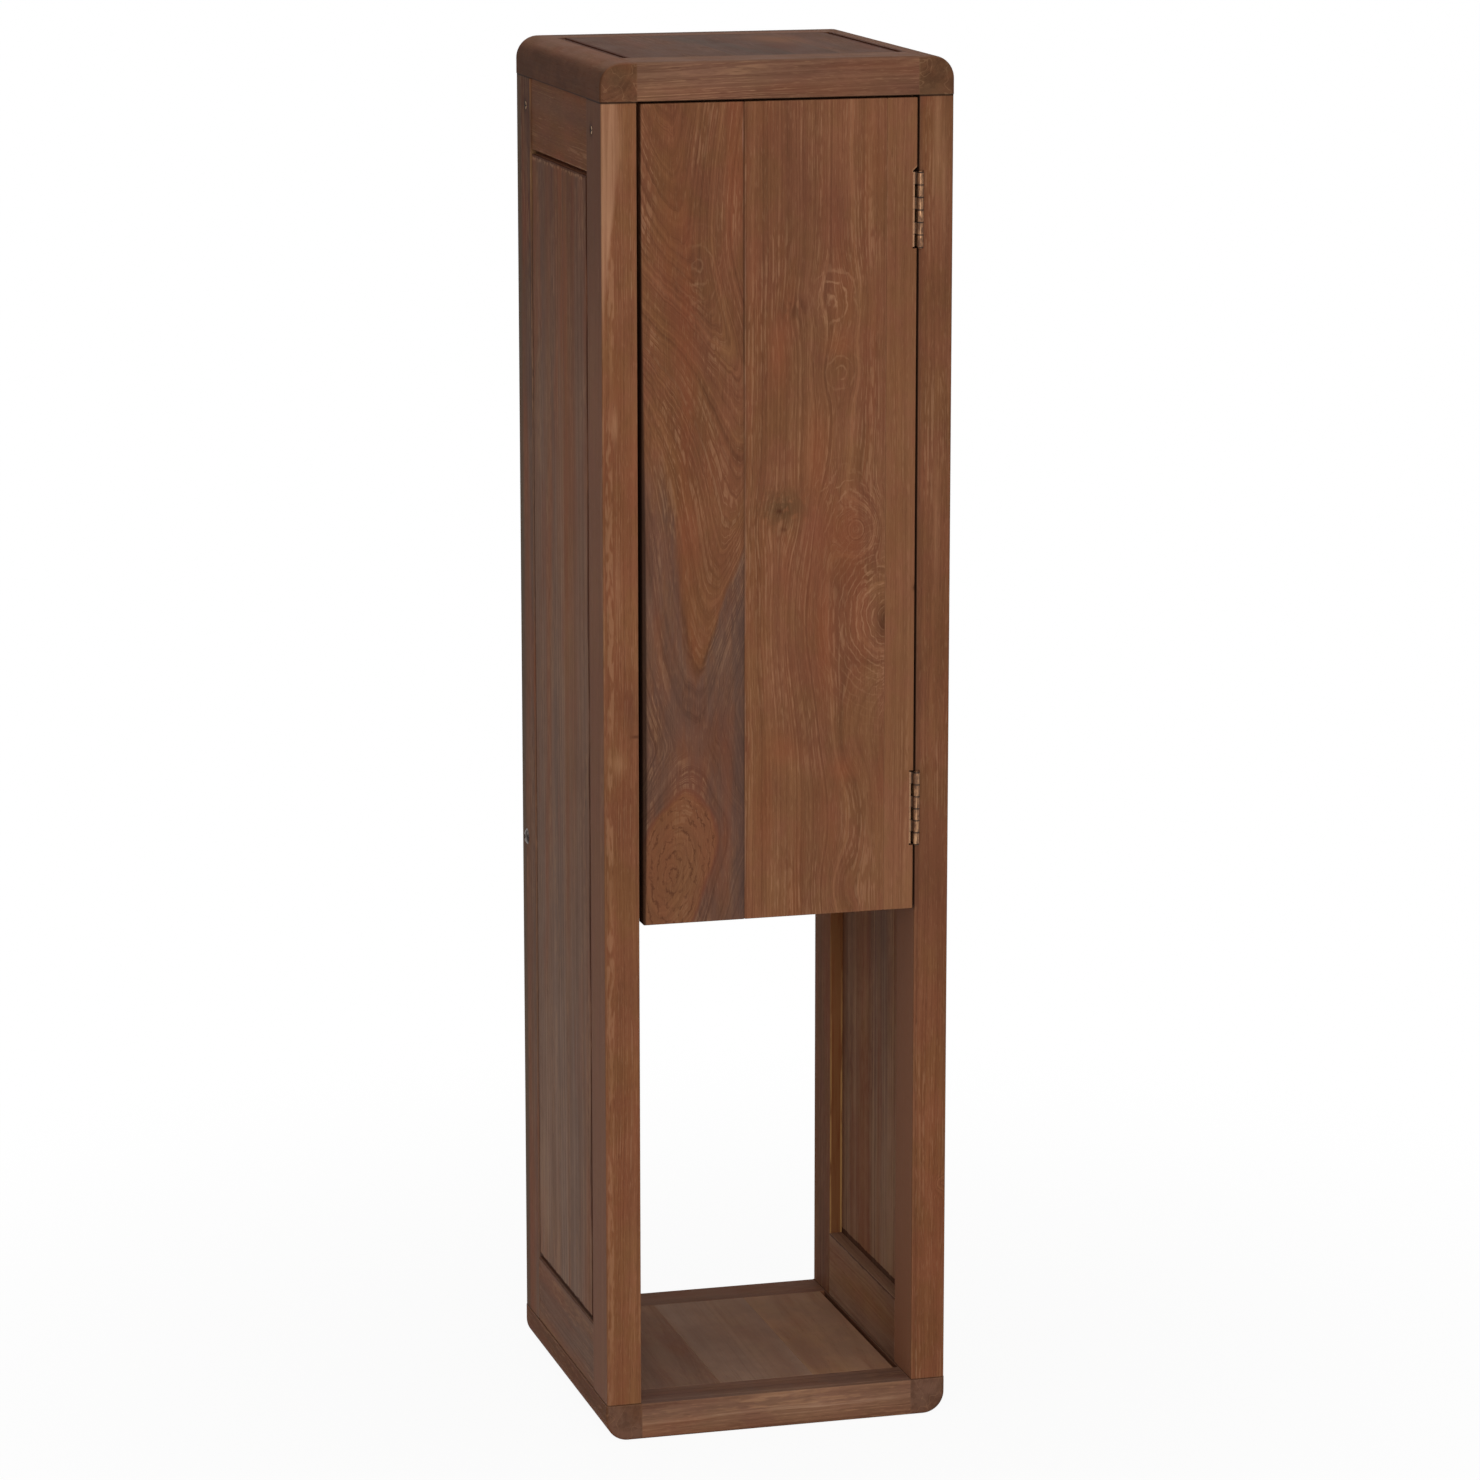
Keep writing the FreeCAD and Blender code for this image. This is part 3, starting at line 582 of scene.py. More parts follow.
def slab_groove(node, board):
    """Dirt along the grooves beside the top panel."""
    x, y = board.places["x"], board.places["y"]
    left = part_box("top_left_rail")[1].x
    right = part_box("top_right_rail")[0].x
    front = (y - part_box("top_front_rail")[1].y).rise(-2 * MM, 1 * MM)
    rear = (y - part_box("top_back_rail")[0].y).rise(2 * MM, -1 * MM)
    if node in ("top_left_rail", "top_panel_left_board"):
        from_middle = (x - (left + GROOVE_WIDTH / 2)).absolute()
    else:
        from_middle = (x - (right - GROOVE_WIDTH / 2)).absolute()
    near = from_middle.rise(GROOVE_WIDTH / 2 + 4.0 * MM, GROOVE_WIDTH / 2 + 3.0 * MM)
    return [(near * front * rear * 0.85, GROOVE_DIRT)]


def panel_edges(node, board):
    """Dirt and painted shade round a panel's raised field, a chipped lip under the top rail, and a tongue
    painted lighter in the slots.
    """
    x, y, z = board.places["x"], board.places["y"], board.places["z"]
    below_face = x - board.low.x if node.startswith("left_") else board.high.x - x
    above_back = board.high.x - board.low.x - below_face
    tongue = below_face.rise(2.0 * MM, 3.0 * MM) * above_back.rise(1.0 * MM, 2.0 * MM)
    ragged = board.streaks(90, 40, 25, 3.0, 0.6) - 0.5
    end = PANEL_TONGUE + FIELD_END_GAP
    below = board.high.z - end - z + ragged * (4 * MM)
    above = z - board.low.z - end + ragged * (5 * MM)
    chips = board.streaks(200, 120, 26, 3.0).rise(0.46, 0.58)
    # Dirt and painted shade in the slots and the front groove, and chips on the lip
    marks = [
        (below.rise(6.5 * MM, 3.0 * MM) * chips * 0.40, CREAM),
        (below.rise(2.6 * MM, 1.0 * MM) * 0.80, SLOT_DIRT_AND_SHADE),
        (above.rise(2.2 * MM, 0.8 * MM) * 0.80, SLOT_DIRT_AND_SHADE),
    ]
    if "front_board" in node:
        behind = y - board.low.y - PANEL_TONGUE - FIELD_FRONT_GAP
        uneven = (board.streaks(60, 9, 30, 3.0, 0.6) - 0.5) * (16 * MM)
        marks.append(((behind + uneven).rise(3.5 * MM, 0.5 * MM) * 0.72, SLOT_DIRT_AND_SHADE))
    # Painted light on the tongue, which lies in shade deep in the slots
    marks.append((tongue * 0.85, (176, 120, 92)))
    return marks


def rear_stile_marks(node, board):
    """A patchy painted highlight on the step beside the panel, painted shade of holes round the screws, and
    the joints' lines.
    """
    y, z = board.places["y"], board.places["z"]
    patchy = board.streaks(300, 14, 29, 3.0, 0.6).rise(0.36, 0.60)
    # The pale step beside the panel is a painted highlight, in patches
    step = (y - board.low.y).rise(2.6 * MM, 1.0 * MM) * patchy
    marks = []
    if node == "left_rear_stile":
        step = step * z.rise(1.12, 1.26)
        rear = (board.high.y - y).rise(24 * MM, 12 * MM) * board.looking("x")
        marks.append((rear * 0.60, (88, 76, 62)))
    marks += [(step * 0.60, (156, 116, 78)), *screw_hole_shade(board), *seams(board)]
    if node == "right_rear_stile":
        marks += lit_edge(board)
    return marks


def bottom_rail_marks(node, board):
    """Dirt and painted shade along the lip under the panel and, at the right, a darker front end."""
    ragged = board.streaks(90, 60, 25, 3.0, 0.6) * (3.5 * MM)
    # Dirt and painted shade along the lip, less on faces looking up
    lip = (board.high.z - board.places["z"] - ragged).rise(0.8 * MM, -0.6 * MM)
    marks = [(lip * (0.75 - board.looking("z") * 0.50), SLOT_DIRT_AND_SHADE)]
    if node == "right_bottom_rail":
        front_end = (board.places["y"] - board.low.y).rise(120 * MM, 0.0)
        marks.append((front_end * board.looking("x") * 0.45, (74, 44, 32)))
    return marks


def marks_of(node, board):
    """What lies over the grain of a plain board."""
    marks = []
    if node.startswith(("top_", "bottom_")):
        marks += slab_shades(node, board)
    if node in ("top_left_rail", "top_right_rail", "top_panel_left_board", "top_panel_right_board"):
        marks += slab_groove(node, board)
    if node.startswith(("left_panel", "right_panel")):
        marks += panel_edges(node, board)
    if node.endswith("rear_stile"):
        marks += rear_stile_marks(node, board)
    if node.startswith(("left_", "right_")) and node.endswith(("top_rail", "bottom_rail")):
        marks += seams(board)
    if node.startswith(("left_", "right_")) and node.endswith("bottom_rail"):
        marks += bottom_rail_marks(node, board)
    return marks


# Boards of the front: grain figures placed at x and z of the object in metres

def door_left():
    """Points of grain that hang down, over an egg-shaped eye at the foot."""
    board = Board("door_left_board", grain="z", face="y", seed=3)
    graph = board.graph
    x, z = board.places["x"], board.places["z"]

    # The points follow a line that bulges to the right, and their right flank is the steeper one
    base_x, bulge_z, bulge, bulge_reach = -0.085, 1.003, 48 * MM, 165 * MM
    up = (z - bulge_z) / bulge_reach
    bend = graph.maths("EXPONENT", up * up * -1.0) * bulge - z.rise(1.05, 1.20) * (23 * MM)
    aside = x - (bend + base_x)
    flank = 0.72 + aside.rise(-12 * MM, 12 * MM) * 0.85
    points = board.point(aside, 11 * MM, flank, 0.762)

    # The eye leans and is slimmer at its top
    eye_x, eye_z, eye_radius = -0.103, 0.575, 40 * MM
    lean = (z - eye_z) * 0.15 - z.rise(0.610, 0.560) * (8 * MM)
    across_eye = (x - eye_x - lean) * (1.0 + z.rise(0.620, 0.665) * 0.4)
    eye = graph.root_of_squares(across_eye, (z - eye_z) * 0.50) - eye_radius
    rings = points.softly_least(eye, 10 * MM) + board.depth * 0.3

    # Outside the lowest point and the eye the wood is greyer and mottled, and darker at the right
    edge = (board.streaks(44, 6, 21, 4.0, 0.6) - 0.5) * (24 * MM)
    tip_side = board.point(aside + 4 * MM, 8 * MM, flank + 0.20, 0.776) + edge
    eye_side = eye + edge * 0.5
    beyond = tip_side.rise(-3 * MM, 6 * MM).least(eye_side.rise(-1 * MM, 3 * MM))
    outside = beyond * z.rise(1.00, 0.92)
    outline = tip_side.absolute().rise(3.5 * MM, 0.0) * z.rise(0.86, 0.80)
    seam_x, seam_width = -0.052, 16 * MM
    seam = (x - seam_x + edge).rise(0.0, seam_width) * z.rise(0.90, 0.82)
    mottle = board.streaks(90, 16, 24, 3.0, 0.6).rise(0.30, 0.66) * 0.5 + 0.5

    # Dirt in the joint with the middle board, a painted highlight high in it, and painted shade on the free
    # edge
    joint = (x - board.high.x).rise(-2.3 * MM, -1.3 * MM) * (z.rise(1.00, 1.12) * 0.25 + 0.25)
    glint = board.spot(-0.0357, 1.288, 0.7 * MM, 14 * MM)
    shadow = z.rise(1.32, 0.78) * (4.2 * MM) - z.rise(0.66, 0.50) * (1.6 * MM)
    free_edge = (x - board.low.x - shadow).rise(0.8 * MM, -1.6 * MM)

    # Fine lines in a swirl and in the eye
    broken = board.streaks(170, 70, 22).rise(0.34, 0.56)
    sway = (board.streaks(60, 50, 27, 3.0) - 0.5) * (18 * MM)
    swirl = board.rounds(-0.080, 1.168, 0.60, 9.0 * MM, sway) * board.spot(-0.076, 1.158, 0.020, 0.034)
    jagged = (board.streaks(150, 90, 36, 4.0, 0.65) - 0.5) * (14 * MM)
    eye_lines = board.rounds(-0.105, 0.573, 0.46, 6.5 * MM, jagged)
    inside = eye_side.rise(1 * MM, -5 * MM)
    eye_rim = eye_side.absolute().rise(3 * MM, 0.0)
    marks = (
        ((1.0 - outside) * z.rise(1.02, 0.88) * z.rise(0.68, 0.76) * 0.15, (134, 84, 54)),
        (outside * mottle * 0.20, (100, 74, 63)),
        (seam * mottle * 0.50, (76, 58, 54)),
        (outline * 0.34, DARK_LINE),
        (inside * 0.40, (130, 88, 62)),
        (inside * eye_lines * broken * 0.60, (80, 46, 33)),
        (eye_rim * 0.38, (98, 58, 50)),
        (swirl * broken * 0.22, CREAM),
        (board.spot(-0.082, 1.168, 0.010, 0.014) * broken * 0.34, (84, 56, 42)),
        (joint, DARK_DIRT_AND_SHADE),
        (glint * 0.26, (196, 146, 126)),
        (free_edge * 0.84, (42, 27, 20)),
    )
    return wood(
        board, rings, tone=-0.01, cool=outside * mottle * 0.66 + 0.08, red=0.34, contrast=0.90,
        line_scale=400, marks=marks, figure_and_painted_light=outside * -0.05 - z.rise(0.90, 1.06) * 0.04,
        bands=0.05, edge=0.05,
    )


def middle_rings(board):
    """Upright grain that swells, closes into ovals and parts round places on the middle board."""
    rings = board.across * 0.9 + board.depth * 0.3
    for x, z, wide, high, amount in (
        (0.072, 0.700, 0.026, 0.044, 0.014),
        (0.062, 0.548, 0.022, 0.040, 0.016),
    ):
        rings = rings + board.spot(x, z, wide, high) * amount
    for x, z, wide, high, slimness in (
        (0.110, 0.818, 0.066, 0.084, 0.72),
        (0.078, 0.905, 0.030, 0.034, 0.80),
    ):
        rings = rings + (board.ovals(x, z, slimness) - rings) * board.spot(x, z, wide, high)
    for x, z, wide, high, amount in (
        (0.004, 0.914, 0.020, 0.030, 0.75),
        (0.054, 1.125, 0.024, 0.038, 0.85),
        (0.062, 1.058, 0.018, 0.024, 0.75),
        (0.020, 1.110, 0.018, 0.026, 0.60),
    ):
        rings = rings + board.parting(x, z, wide, high, amount)
    return rings


def loop_marks(board, broken):
    """Broken pale lines in four figures: half an oval, two loops and a peak."""
    sway = (board.streaks(60, 50, 27, 3.0) - 0.5) * (14 * MM)
    marks = []
    for x, z, slimness, spacing, swaying, place, share in (
        (0.109, 0.818, 0.74, 5.6 * MM, 0.8, (0.100, 0.818, 0.050, 0.070), 0.36),
        (0.054, 1.127, 0.66, 9.5 * MM, 1.3, (0.058, 1.131, 0.020, 0.028), 0.46),
        (0.062, 1.058, 0.80, 9.0 * MM, 1.0, (0.062, 1.060, 0.018, 0.020), 0.22),
        (0.072, 0.905, 0.60, 8.0 * MM, 1.5, (0.066, 0.940, 0.030, 0.024), 0.30),
    ):
        lines = board.rounds(x, z, slimness, spacing, sway * swaying) * board.spot(*place)
        marks.append((lines * broken * share, CREAM))
    return marks


def door_middle():
    """Fine upright lines that bend round a knot, a few loops and a half oval at the right."""
    board = Board("door_middle_board", grain="z", face="y", seed=5)
    broken = board.streaks(170, 70, 22).rise(0.34, 0.56)
    knot = board.spot(0.001, 0.926, 0.0040, 0.0024).most(board.spot(0.005, 0.908, 0.0036, 0.0022) * 0.7)
    cloudy = board.streaks(120, 100, 37, 4.0, 0.65).rise(0.34, 0.54)
    patchy = board.streaks(60, 11, 32, 3.0, 0.6).rise(0.44, 0.60)
    arris = (board.places["x"] - board.low.x).rise(1.8 * MM, 0.7 * MM) * patchy
    marks = [
        *board.patches((
            (0.038, 0.985, 0.012, 0.045, 0.42, ORANGE),
            (0.001, 1.080, 0.010, 0.034, 0.36, ORANGE),
            (0.060, 1.085, 0.014, 0.012, 0.30, ORANGE),
            (0.064, 0.900, 0.018, 0.034, 0.30, ORANGE),
            (0.047, 0.800, 0.010, 0.070, 0.44, ORANGE),
            (0.006, 0.692, 0.018, 0.018, 0.34, ORANGE),
            (0.066, 0.668, 0.014, 0.012, 0.34, ORANGE),
            (0.058, 1.214, 0.012, 0.030, 0.24, (112, 66, 56)),
            (0.018, 1.225, 0.022, 0.060, 0.26, UMBER),
            (0.020, 0.705, 0.012, 0.016, 0.26, UMBER),
        )),
        *loop_marks(board, broken),
        (board.spot(0.034, 0.914, 0.013, 0.022) * 0.30, (142, 84, 64)),
        (board.spot(0.005, 0.930, 0.022, 0.018) * cloudy * 0.66, (86, 63, 43)),
        (knot * 0.66, (72, 36, 24)),
        (board.spot(0.016, 1.122, 0.014, 0.012) * broken * 0.50, (72, 44, 30)),
        (board.spot(0.106, 0.812, 0.006, 0.018) * 0.65, (62, 36, 25)),
        (arris * 0.34, (150, 112, 92)),
    ]
    # The board is painted a little lighter towards the foot: painted light
    return wood(
        board, middle_rings(board), tone=0.02, cool=0.12, red=0.28, contrast=0.85, line_scale=400,
        marks=marks, figure_and_painted_light=board.places["z"].rise(0.76, 0.58) * 0.04, bands=0.05, edge=0.05,
    )


def door_right():
    """A plain, paler and smoother board with a nick in its edge."""
    board = Board("door_right_board", grain="z", face="y", seed=8)
    rings = board.across + board.depth * 0.5
    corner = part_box("upper_hinge_pin")[1].z
    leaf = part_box("upper_hinge_door_leaf")[0].x
    over = board.places["z"] - corner - (board.places["x"] - leaf) * NOTCH_RISE
    cut = over.absolute().rise(2.2 * MM, 0.8 * MM) * (board.places["x"] - leaf).rise(-1.5 * MM, 0.0)
    nick = board.spot(0.139, 0.845, 3 * MM, 3 * MM)
    marks = ((nick * 0.80, DARK_DIRT_AND_SHADE), (cut * 0.50, CREAM))
    # The board is painted a little lighter towards the foot: painted light
    return wood(
        board, rings, tone=0.09, cool=0.12, red=0.12, contrast=0.60, marks=marks,
        figure_and_painted_light=board.places["z"].rise(0.90, 0.60) * 0.07, bands=0.08, edge=0.06,
    )


def left_stile():
    """Pale sapwood down the outer corner, light lenses and a small knot at the inner edge."""
    board = Board("left_front_stile", grain="z", face="y", seed=6)
    x, z = board.places["x"], board.places["z"]
    front = (board.places["y"] - board.low.y).rise(3 * MM, 1 * MM)
    wave = (board.streaks(70, 9, 21, 3.0) - 0.5) * (12 * MM)
    sap = (x - board.low.x - z.rise(1.08, 1.28) * (15 * MM) + wave).rise(2.5 * MM, -2.5 * MM)
    sap = sap * front * z.rise(1.06, 1.18) * (board.streaks(300, 8, 23).rise(0.30, 0.60) * 0.5 + 0.5)
    marks = (
        (sap * 0.60, (182, 136, 105)),
        *board.patches((
            (-0.156, 1.285, 0.004, 0.040, 0.22, CREAM),
            (-0.162, 1.016, 0.0025, 0.016, 0.36, CREAM),
            (-0.160, 0.860, 0.003, 0.040, 0.20, CREAM),
            (-0.160, 0.686, 0.006, 0.010, 0.28, CREAM),
            (-0.148, 0.735, 0.008, 0.024, 0.44, (100, 58, 47)),
            (-0.1425, 0.712, 0.0045, 0.0016, 0.60, (66, 38, 28)),
        ), front),
        ((1.0 - front) * 0.50, (126, 94, 80)),
        # On the side faces: painted shade towards the top and painted light from below at the foot
        ((1.0 - front) * z.rise(1.00, 1.28) * 0.45, (66, 42, 32)),
        ((1.0 - front) * z.rise(0.70, 0.25) * 0.40, (142, 106, 90)),
        *screw_hole_shade(board),
        *seams(board),
    )
    rings = ring_distance(board, 0.045, 0.03, 0.004)
    # The whole board is painted a little lighter towards the foot: painted light
    return wood(
        board, rings, tone=0.02, cool=0.05, red=0.25, contrast=0.85, marks=marks,
        figure_and_painted_light=z.rise(0.60, 0.25) * 0.06, bands=0.05,
    )


def right_stile():
    """Light upright streaks, a swirl near the foot, painted shadow by the hinges and painted light and
    shade by the door.
    """
    board = Board("right_front_stile", grain="z", face="y", seed=7)
    x, y, z = board.places["x"], board.places["y"], board.places["z"]
    rings = ring_distance(board, -0.06, 0.02, 0.003) + board.spot(0.168, 0.240, 0.008, 0.010) * (12 * MM)
    front = (y - board.low.y).rise(3 * MM, 1 * MM)

    # Painted shadow on the stile beside the frame leaves of both hinges
    past_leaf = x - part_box("upper_hinge_frame_leaf")[1].x - 0.4 * MM
    contact = 0.0
    for place in ("upper", "lower"):
        low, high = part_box(place + "_hinge_pin")
        half = (high.z - low.z) / 2
        contact = (z - (low.z + high.z) / 2).absolute().rise(half + 1 * MM, half) + contact
    beside_leaf = past_leaf.absolute().rise(1.3 * MM, 0.4 * MM) * contact

    # Towards the door: painted light on the inner face below the door's foot, painted shade on the front
    # edge and in the gap beside the door
    from_gap = x - board.low.x
    inner = from_gap.rise(3 * MM, 1 * MM) * (1.0 - front)
    door_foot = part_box("door_left_board")[0].z
    by_door = z.rise(door_foot - 4 * MM, door_foot + 4 * MM)
    crevice = from_gap.rise(1.0 * MM, 0.2 * MM) * (y - board.low.y).rise(24 * MM, 16 * MM)
    marks = (
        # Painted shadow beside the hinges' barrels
        (beside_leaf * 0.65, DARK_DIRT_AND_SHADE),
        # Painted light on the stile's side faces, more on the inner face below the door
        ((1.0 - front) * 0.60, (128, 96, 80)),
        (inner * (1.0 - by_door) * 0.60, (168, 114, 84)),
        # Painted shade on the front edge and in the gap beside the door
        (from_gap.rise(6.0 * MM, 1.0 * MM) * front * by_door * 0.30, (74, 48, 40)),
        (crevice * by_door * 0.80, DARK_DIRT_AND_SHADE),
        *board.patches((
            (0.158, 1.290, 0.004, 0.060, 0.26, CREAM),
            (0.165, 1.240, 0.003, 0.060, 0.18, CREAM),
            (0.160, 0.900, 0.003, 0.060, 0.14, CREAM),
            (0.150, 0.550, 0.030, 0.120, 0.26, (100, 64, 48)),
        )),
        *screw_hole_shade(board),
        *seams(board),
    )
    # The board is painted a little lighter towards the foot: painted light
    return wood(
        board, rings, tone=-0.02, cool=0.06, red=0.24, contrast=0.85, marks=marks,
        figure_and_painted_light=z.rise(0.45, 0.20) * 0.07, bands=0.12,
    )


# Every other board: node, grain and face axes, heart of the tree across and behind, lean, tone, cool, red

PLAIN_BOARDS = (
    ("left_rear_stile", "z", "x", 0.080, 0.020, 0.003, 0.02, 0.75, 0.40),
    ("right_rear_stile", "z", "x", 0.080, 0.020, 0.003, 0.00, 0.15, 0.35),
    ("left_panel_front_board", "z", "x", 0.120, 0.030, 0.010, 0.17, 0.70, 0.30),
    ("left_panel_rear_board", "z", "x", -0.090, 0.040, 0.010, 0.20, 0.70, 0.40),
    ("right_panel_front_board", "z", "x", 0.110, 0.030, 0.008, 0.20, 0.40, 0.40),
    ("right_panel_rear_board", "z", "x", -0.090, 0.040, 0.008, 0.16, 0.35, 0.50),
    ("left_top_rail", "y", "x", 0.010, 0.040, 0.020, 0.21, 0.16, 0.50),
    ("right_top_rail", "y", "x", 0.010, 0.040, 0.020, -0.06, 0.25, 0.30),
    ("left_bottom_rail", "y", "x", 0.020, 0.030, 0.030, 0.06, 0.85, 0.30),
    ("right_bottom_rail", "y", "x", 0.010, 0.030, 0.020, 0.06, 0.30, 0.35),
    ("top_front_rail", "x", "y", 0.010, 0.030, 0.030, 0.03, 0.42, 0.25),
    ("top_back_rail", "x", "y", 0.010, 0.030, 0.030, 0.00, 0.20, 0.30),
    ("top_left_rail", "y", "x", 0.020, 0.020, 0.010, -0.04, 0.10, 0.25),
    ("top_right_rail", "y", "x", 0.020, 0.020, 0.010, -0.08, 0.20, 0.30),
    ("top_panel_left_board", "y", "z", 0.060, 0.040, 0.030, -0.25, 0.20, 0.25),
    ("top_panel_middle_board", "y", "z", 0.010, 0.030, 0.050, -0.30, 0.40, 0.20),
    ("top_panel_right_board", "y", "z", 0.080, 0.040, 0.020, -0.23, 0.12, 0.30),
    ("bottom_front_rail", "x", "y", 0.020, 0.040, 0.020, 0.12, 0.50, 0.30),
    ("bottom_back_rail", "x", "y", 0.020, 0.040, 0.020, 0.04, 0.35, 0.30),
    ("bottom_left_rail", "y", "x", 0.020, 0.030, 0.020, -0.08, 0.15, 0.30),
    ("bottom_right_rail", "y", "x", 0.020, 0.030, 0.020, -0.06, 0.25, 0.30),
    ("bottom_panel_left_board", "y", "z", 0.020, 0.030, 0.050, 0.27, 0.40, 0.30),
    ("bottom_panel_middle_board", "y", "z", 0.060, 0.030, 0.030, 0.48, 0.65, 0.25),
    ("bottom_panel_right_board", "y", "z", 0.010, 0.040, 0.060, 0.52, 0.25, 0.40),
    ("compartment_floor_front_rail", "x", "z", 0.020, 0.040, 0.020, -0.02, 0.20, 0.30),
    ("compartment_floor_back_rail", "x", "z", 0.020, 0.040, 0.020, -0.02, 0.20, 0.30),
    ("compartment_floor_left_rail", "y", "z", 0.020, 0.040, 0.020, -0.02, 0.20, 0.30),
    ("compartment_floor_right_rail", "y", "z", 0.020, 0.040, 0.020, -0.02, 0.20, 0.30),
    ("compartment_floor_panel", "y", "z", 0.020, 0.050, 0.030, 0.00, 0.20, 0.30),
    ("upper_front_cross_rail", "x", "y", 0.020, 0.040, 0.020, -0.02, 0.20, 0.30),
    ("upper_back_cross_rail", "x", "y", 0.020, 0.040, 0.020, -0.02, 0.20, 0.30),
    ("back_panel", "z", "y", 0.030, 0.060, 0.010, 0.00, 0.20, 0.30),
    ("inner_shelf", "x", "z", 0.030, 0.050, 0.020, 0.00, 0.20, 0.30),
    ("door_upper_batten", "x", "y", 0.020, 0.040, 0.020, -0.02, 0.20, 0.30),
    ("door_lower_batten", "x", "y", 0.020, 0.040, 0.020, -0.02, 0.20, 0.30),
)
FIRST_PLAIN_SEED = 11


def plain_board(seed, node, grain, face, across, behind, lean, tone, cool, red):
    """A board of the table, with stronger or lighter grain where the object shows it."""
    board = Board(node, grain, face, seed)
    z = board.places["z"]
    contrast = 0.6 if node.startswith(("top_", "bottom_")) else 0.8
    if node.endswith("front_rail"):
        contrast = 1.3 if node == "bottom_front_rail" else 1.0
    if node.startswith("right_panel"):
        contrast = 1.2
    figure_and_painted_light = None
    # Left side: painted shade towards the top, which also turns warmer, and painted light from below at the
    # foot
    if node.startswith("left_"):
        figure_and_painted_light = z.rise(0.90, 1.30) * -0.30 + z.rise(0.70, 0.20) * 0.09
        cool = z.rise(1.00, 1.30) * -0.30 + cool
    elif node.startswith("right_"):
        # Right side: painted light on the inner faces, in the open bay
        figure_and_painted_light = board.depth.rise(2 * MM, -2 * MM) * (0.34 if node == "right_bottom_rail" else 0.06)
    # The right panel is painted lighter on its lower part: painted light
    if node.startswith("right_panel"):
        figure_and_painted_light = figure_and_painted_light + z.rise(0.46, 0.14) * 0.18
    bands = 0.5 if node.startswith(("left_", "right_")) else 0.25
    rings = ring_distance(board, across, behind, lean)
    marks = marks_of(node, board)
    return wood(board, rings, tone, cool, red, contrast, marks=marks, figure_and_painted_light=figure_and_painted_light, bands=bands)


def dowel(node, grain):
    """Plain pale wood."""
    board = Board(node, grain, face="y", seed=7)
    return wood(board, board.across, tone=0.35, cool=0.0, red=0.0)


paint("door_left_board", door_left())
paint("door_middle_board", door_middle())
paint("door_right_board", door_right())
paint("left_front_stile", left_stile())
paint("right_front_stile", right_stile())
for seed, row in enumerate(PLAIN_BOARDS, FIRST_PLAIN_SEED):
    paint(row[0], plain_board(seed, *row))
for node, grain in (("slab_dowels", "z"), ("floor_dowels", "x")):
    paint(node, dowel(node, grain))

brass = metal("aged_brass", colour=(146, 102, 64), tarnish=(66, 43, 29), shine=0.38, spotted=0.9)
zinc = metal("zinc_steel", colour=(156, 154, 148), tarnish=(96, 92, 86), shine=0.40, spotted=0.7)
bolt_steel = metal("bolt_steel", colour=(104, 94, 88), tarnish=(40, 32, 30), shine=0.36, spotted=1.0)
magnet = metal("magnet", colour=(120, 120, 122), tarnish=(70, 70, 72), shine=0.45, spotted=0.6)
for place in ("upper", "lower"):
    hinge = hinge_brass(place)
    for piece in ("door_leaf", "frame_leaf", "pin"):
        paint(f"{place}_hinge_{piece}", hinge)
for node in ("hinge_door_screws", "hinge_frame_screws", "shelf_pins"):
    paint(node, brass)
for node in ("strike_plate", "strike_screw", "catch_screws", "batten_screws"):
    paint(node, zinc)
paint("cross_rail_screws", screw_brass())
paint("floor_bolts", bolt_steel)
paint("catch_magnet", magnet)
paint("catch_housing", plastic("catch_plastic", (62, 42, 30)))


# Stage: a pale floor that turns white away from the object and keeps its shadow

def camera_share(graph):
    """1 for what the camera sees directly, in a mirror or through glass, else 0."""
    paths = graph.add("LightPath")
    seen = Value(graph, paths.outputs["Is Camera Ray"])
    for name in ("Is Glossy Ray", "Is Transmission Ray"):
        seen = seen.most(Value(graph, paths.outputs[name]))
    return seen


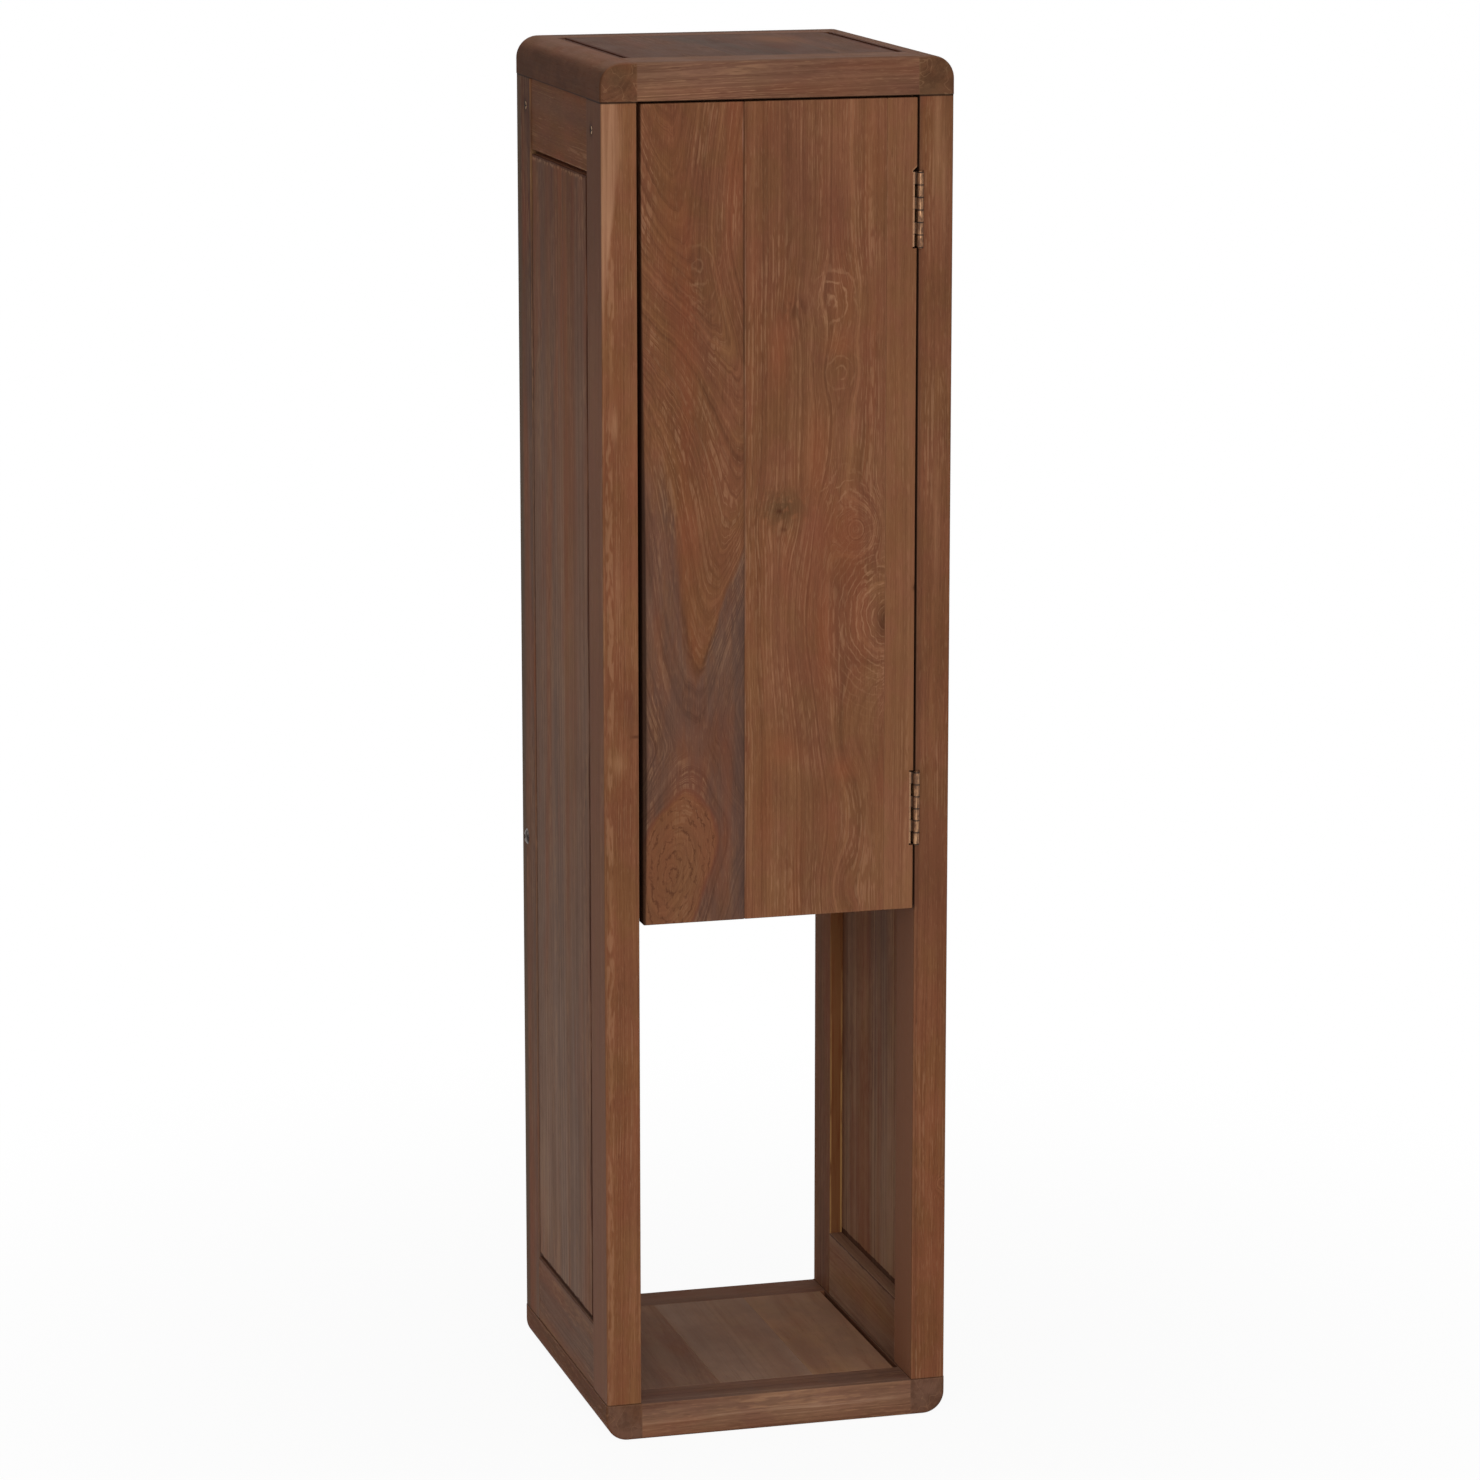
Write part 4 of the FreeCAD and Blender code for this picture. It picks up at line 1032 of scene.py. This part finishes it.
def make_floor():
    mesh = bpy.data.meshes.new("floor")
    points = []
    for side in range(FLOOR_SIDES):
        turn = side * math.tau / FLOOR_SIDES
        points.append((FLOOR_RADIUS * math.cos(turn), FLOOR_RADIUS * math.sin(turn), 0.0))
    mesh.from_pydata(points, [], [list(range(FLOOR_SIDES))])
    floor = bpy.data.objects.new("floor", mesh)
    bpy.context.scene.collection.objects.link(floor)
    graph = new_material("floor")
    places = graph.places()
    away = graph.root_of_squares(places["x"], places["y"]).rise(SHADOW_NEAR, SHADOW_REACH)
    diffuse = graph.add("BsdfDiffuse")
    graph.feed(diffuse.inputs["Color"], FLOOR_COLOUR)
    glow = graph.add("Emission")
    graph.feed(glow.inputs["Strength"], 1.0)
    blend = graph.add("MixShader")
    glow_share = away * SHADOW_SHARE + (1.0 - SHADOW_SHARE)
    mixed = (camera_share(graph) * glow_share, diffuse.outputs[0], glow.outputs[0])
    for socket, value in zip(blend.inputs, mixed):
        graph.feed(socket, value)
    graph.feed(graph.surface_socket, blend.outputs[0])
    mesh.materials.append(graph.owner)


def make_world():
    """White to the camera, and even, weaker light on the object."""
    world = bpy.data.worlds.new("studio")
    bpy.context.scene.world = world
    graph = Graph(world, "OutputWorld")
    level = graph.add("MapRange")
    graph.feed(level.inputs["Value"], camera_share(graph))
    graph.feed(level.inputs["To Min"], WORLD_STRENGTH)
    graph.feed(level.inputs["To Max"], 1.0)
    background = graph.add("Background")
    graph.feed(background.inputs["Color"], WHITE)
    graph.feed(background.inputs["Strength"], level.outputs[0])
    graph.feed(graph.surface_socket, background.outputs[0])


def make_lamp(name, place, target, size, watts):
    data = bpy.data.lights.new(name, "AREA")
    data.shape = "RECTANGLE"
    data.size, data.size_y = size
    data.energy = watts
    lamp = bpy.data.objects.new(name, data)
    bpy.context.scene.collection.objects.link(lamp)
    lamp.location = place
    lamp.rotation_euler = (Vector(target) - Vector(place)).to_track_quat("-Z", "Y").to_euler()


def make_camera():
    data = bpy.data.cameras.new("camera")
    data.lens = CAMERA_LENS
    camera = bpy.data.objects.new("camera", data)
    bpy.context.scene.collection.objects.link(camera)
    camera.location = CAMERA_PLACE
    camera.rotation_euler = (math.pi / 2 - CAMERA_TILT, 0.0, -CAMERA_TURN)
    bpy.context.scene.camera = camera


make_floor()
make_world()
make_lamp("front_softbox", place=(-0.6, -4.0, 1.6), target=(0.0, 0.0, 0.5), size=(2.0, 2.4), watts=65.0)
make_lamp("top_softbox", place=(-0.3, -0.6, 3.4), target=(0.0, 0.0, 1.0), size=(2.0, 2.0), watts=11.0)
make_camera()

bpy.context.scene.view_settings.view_transform = "Standard"
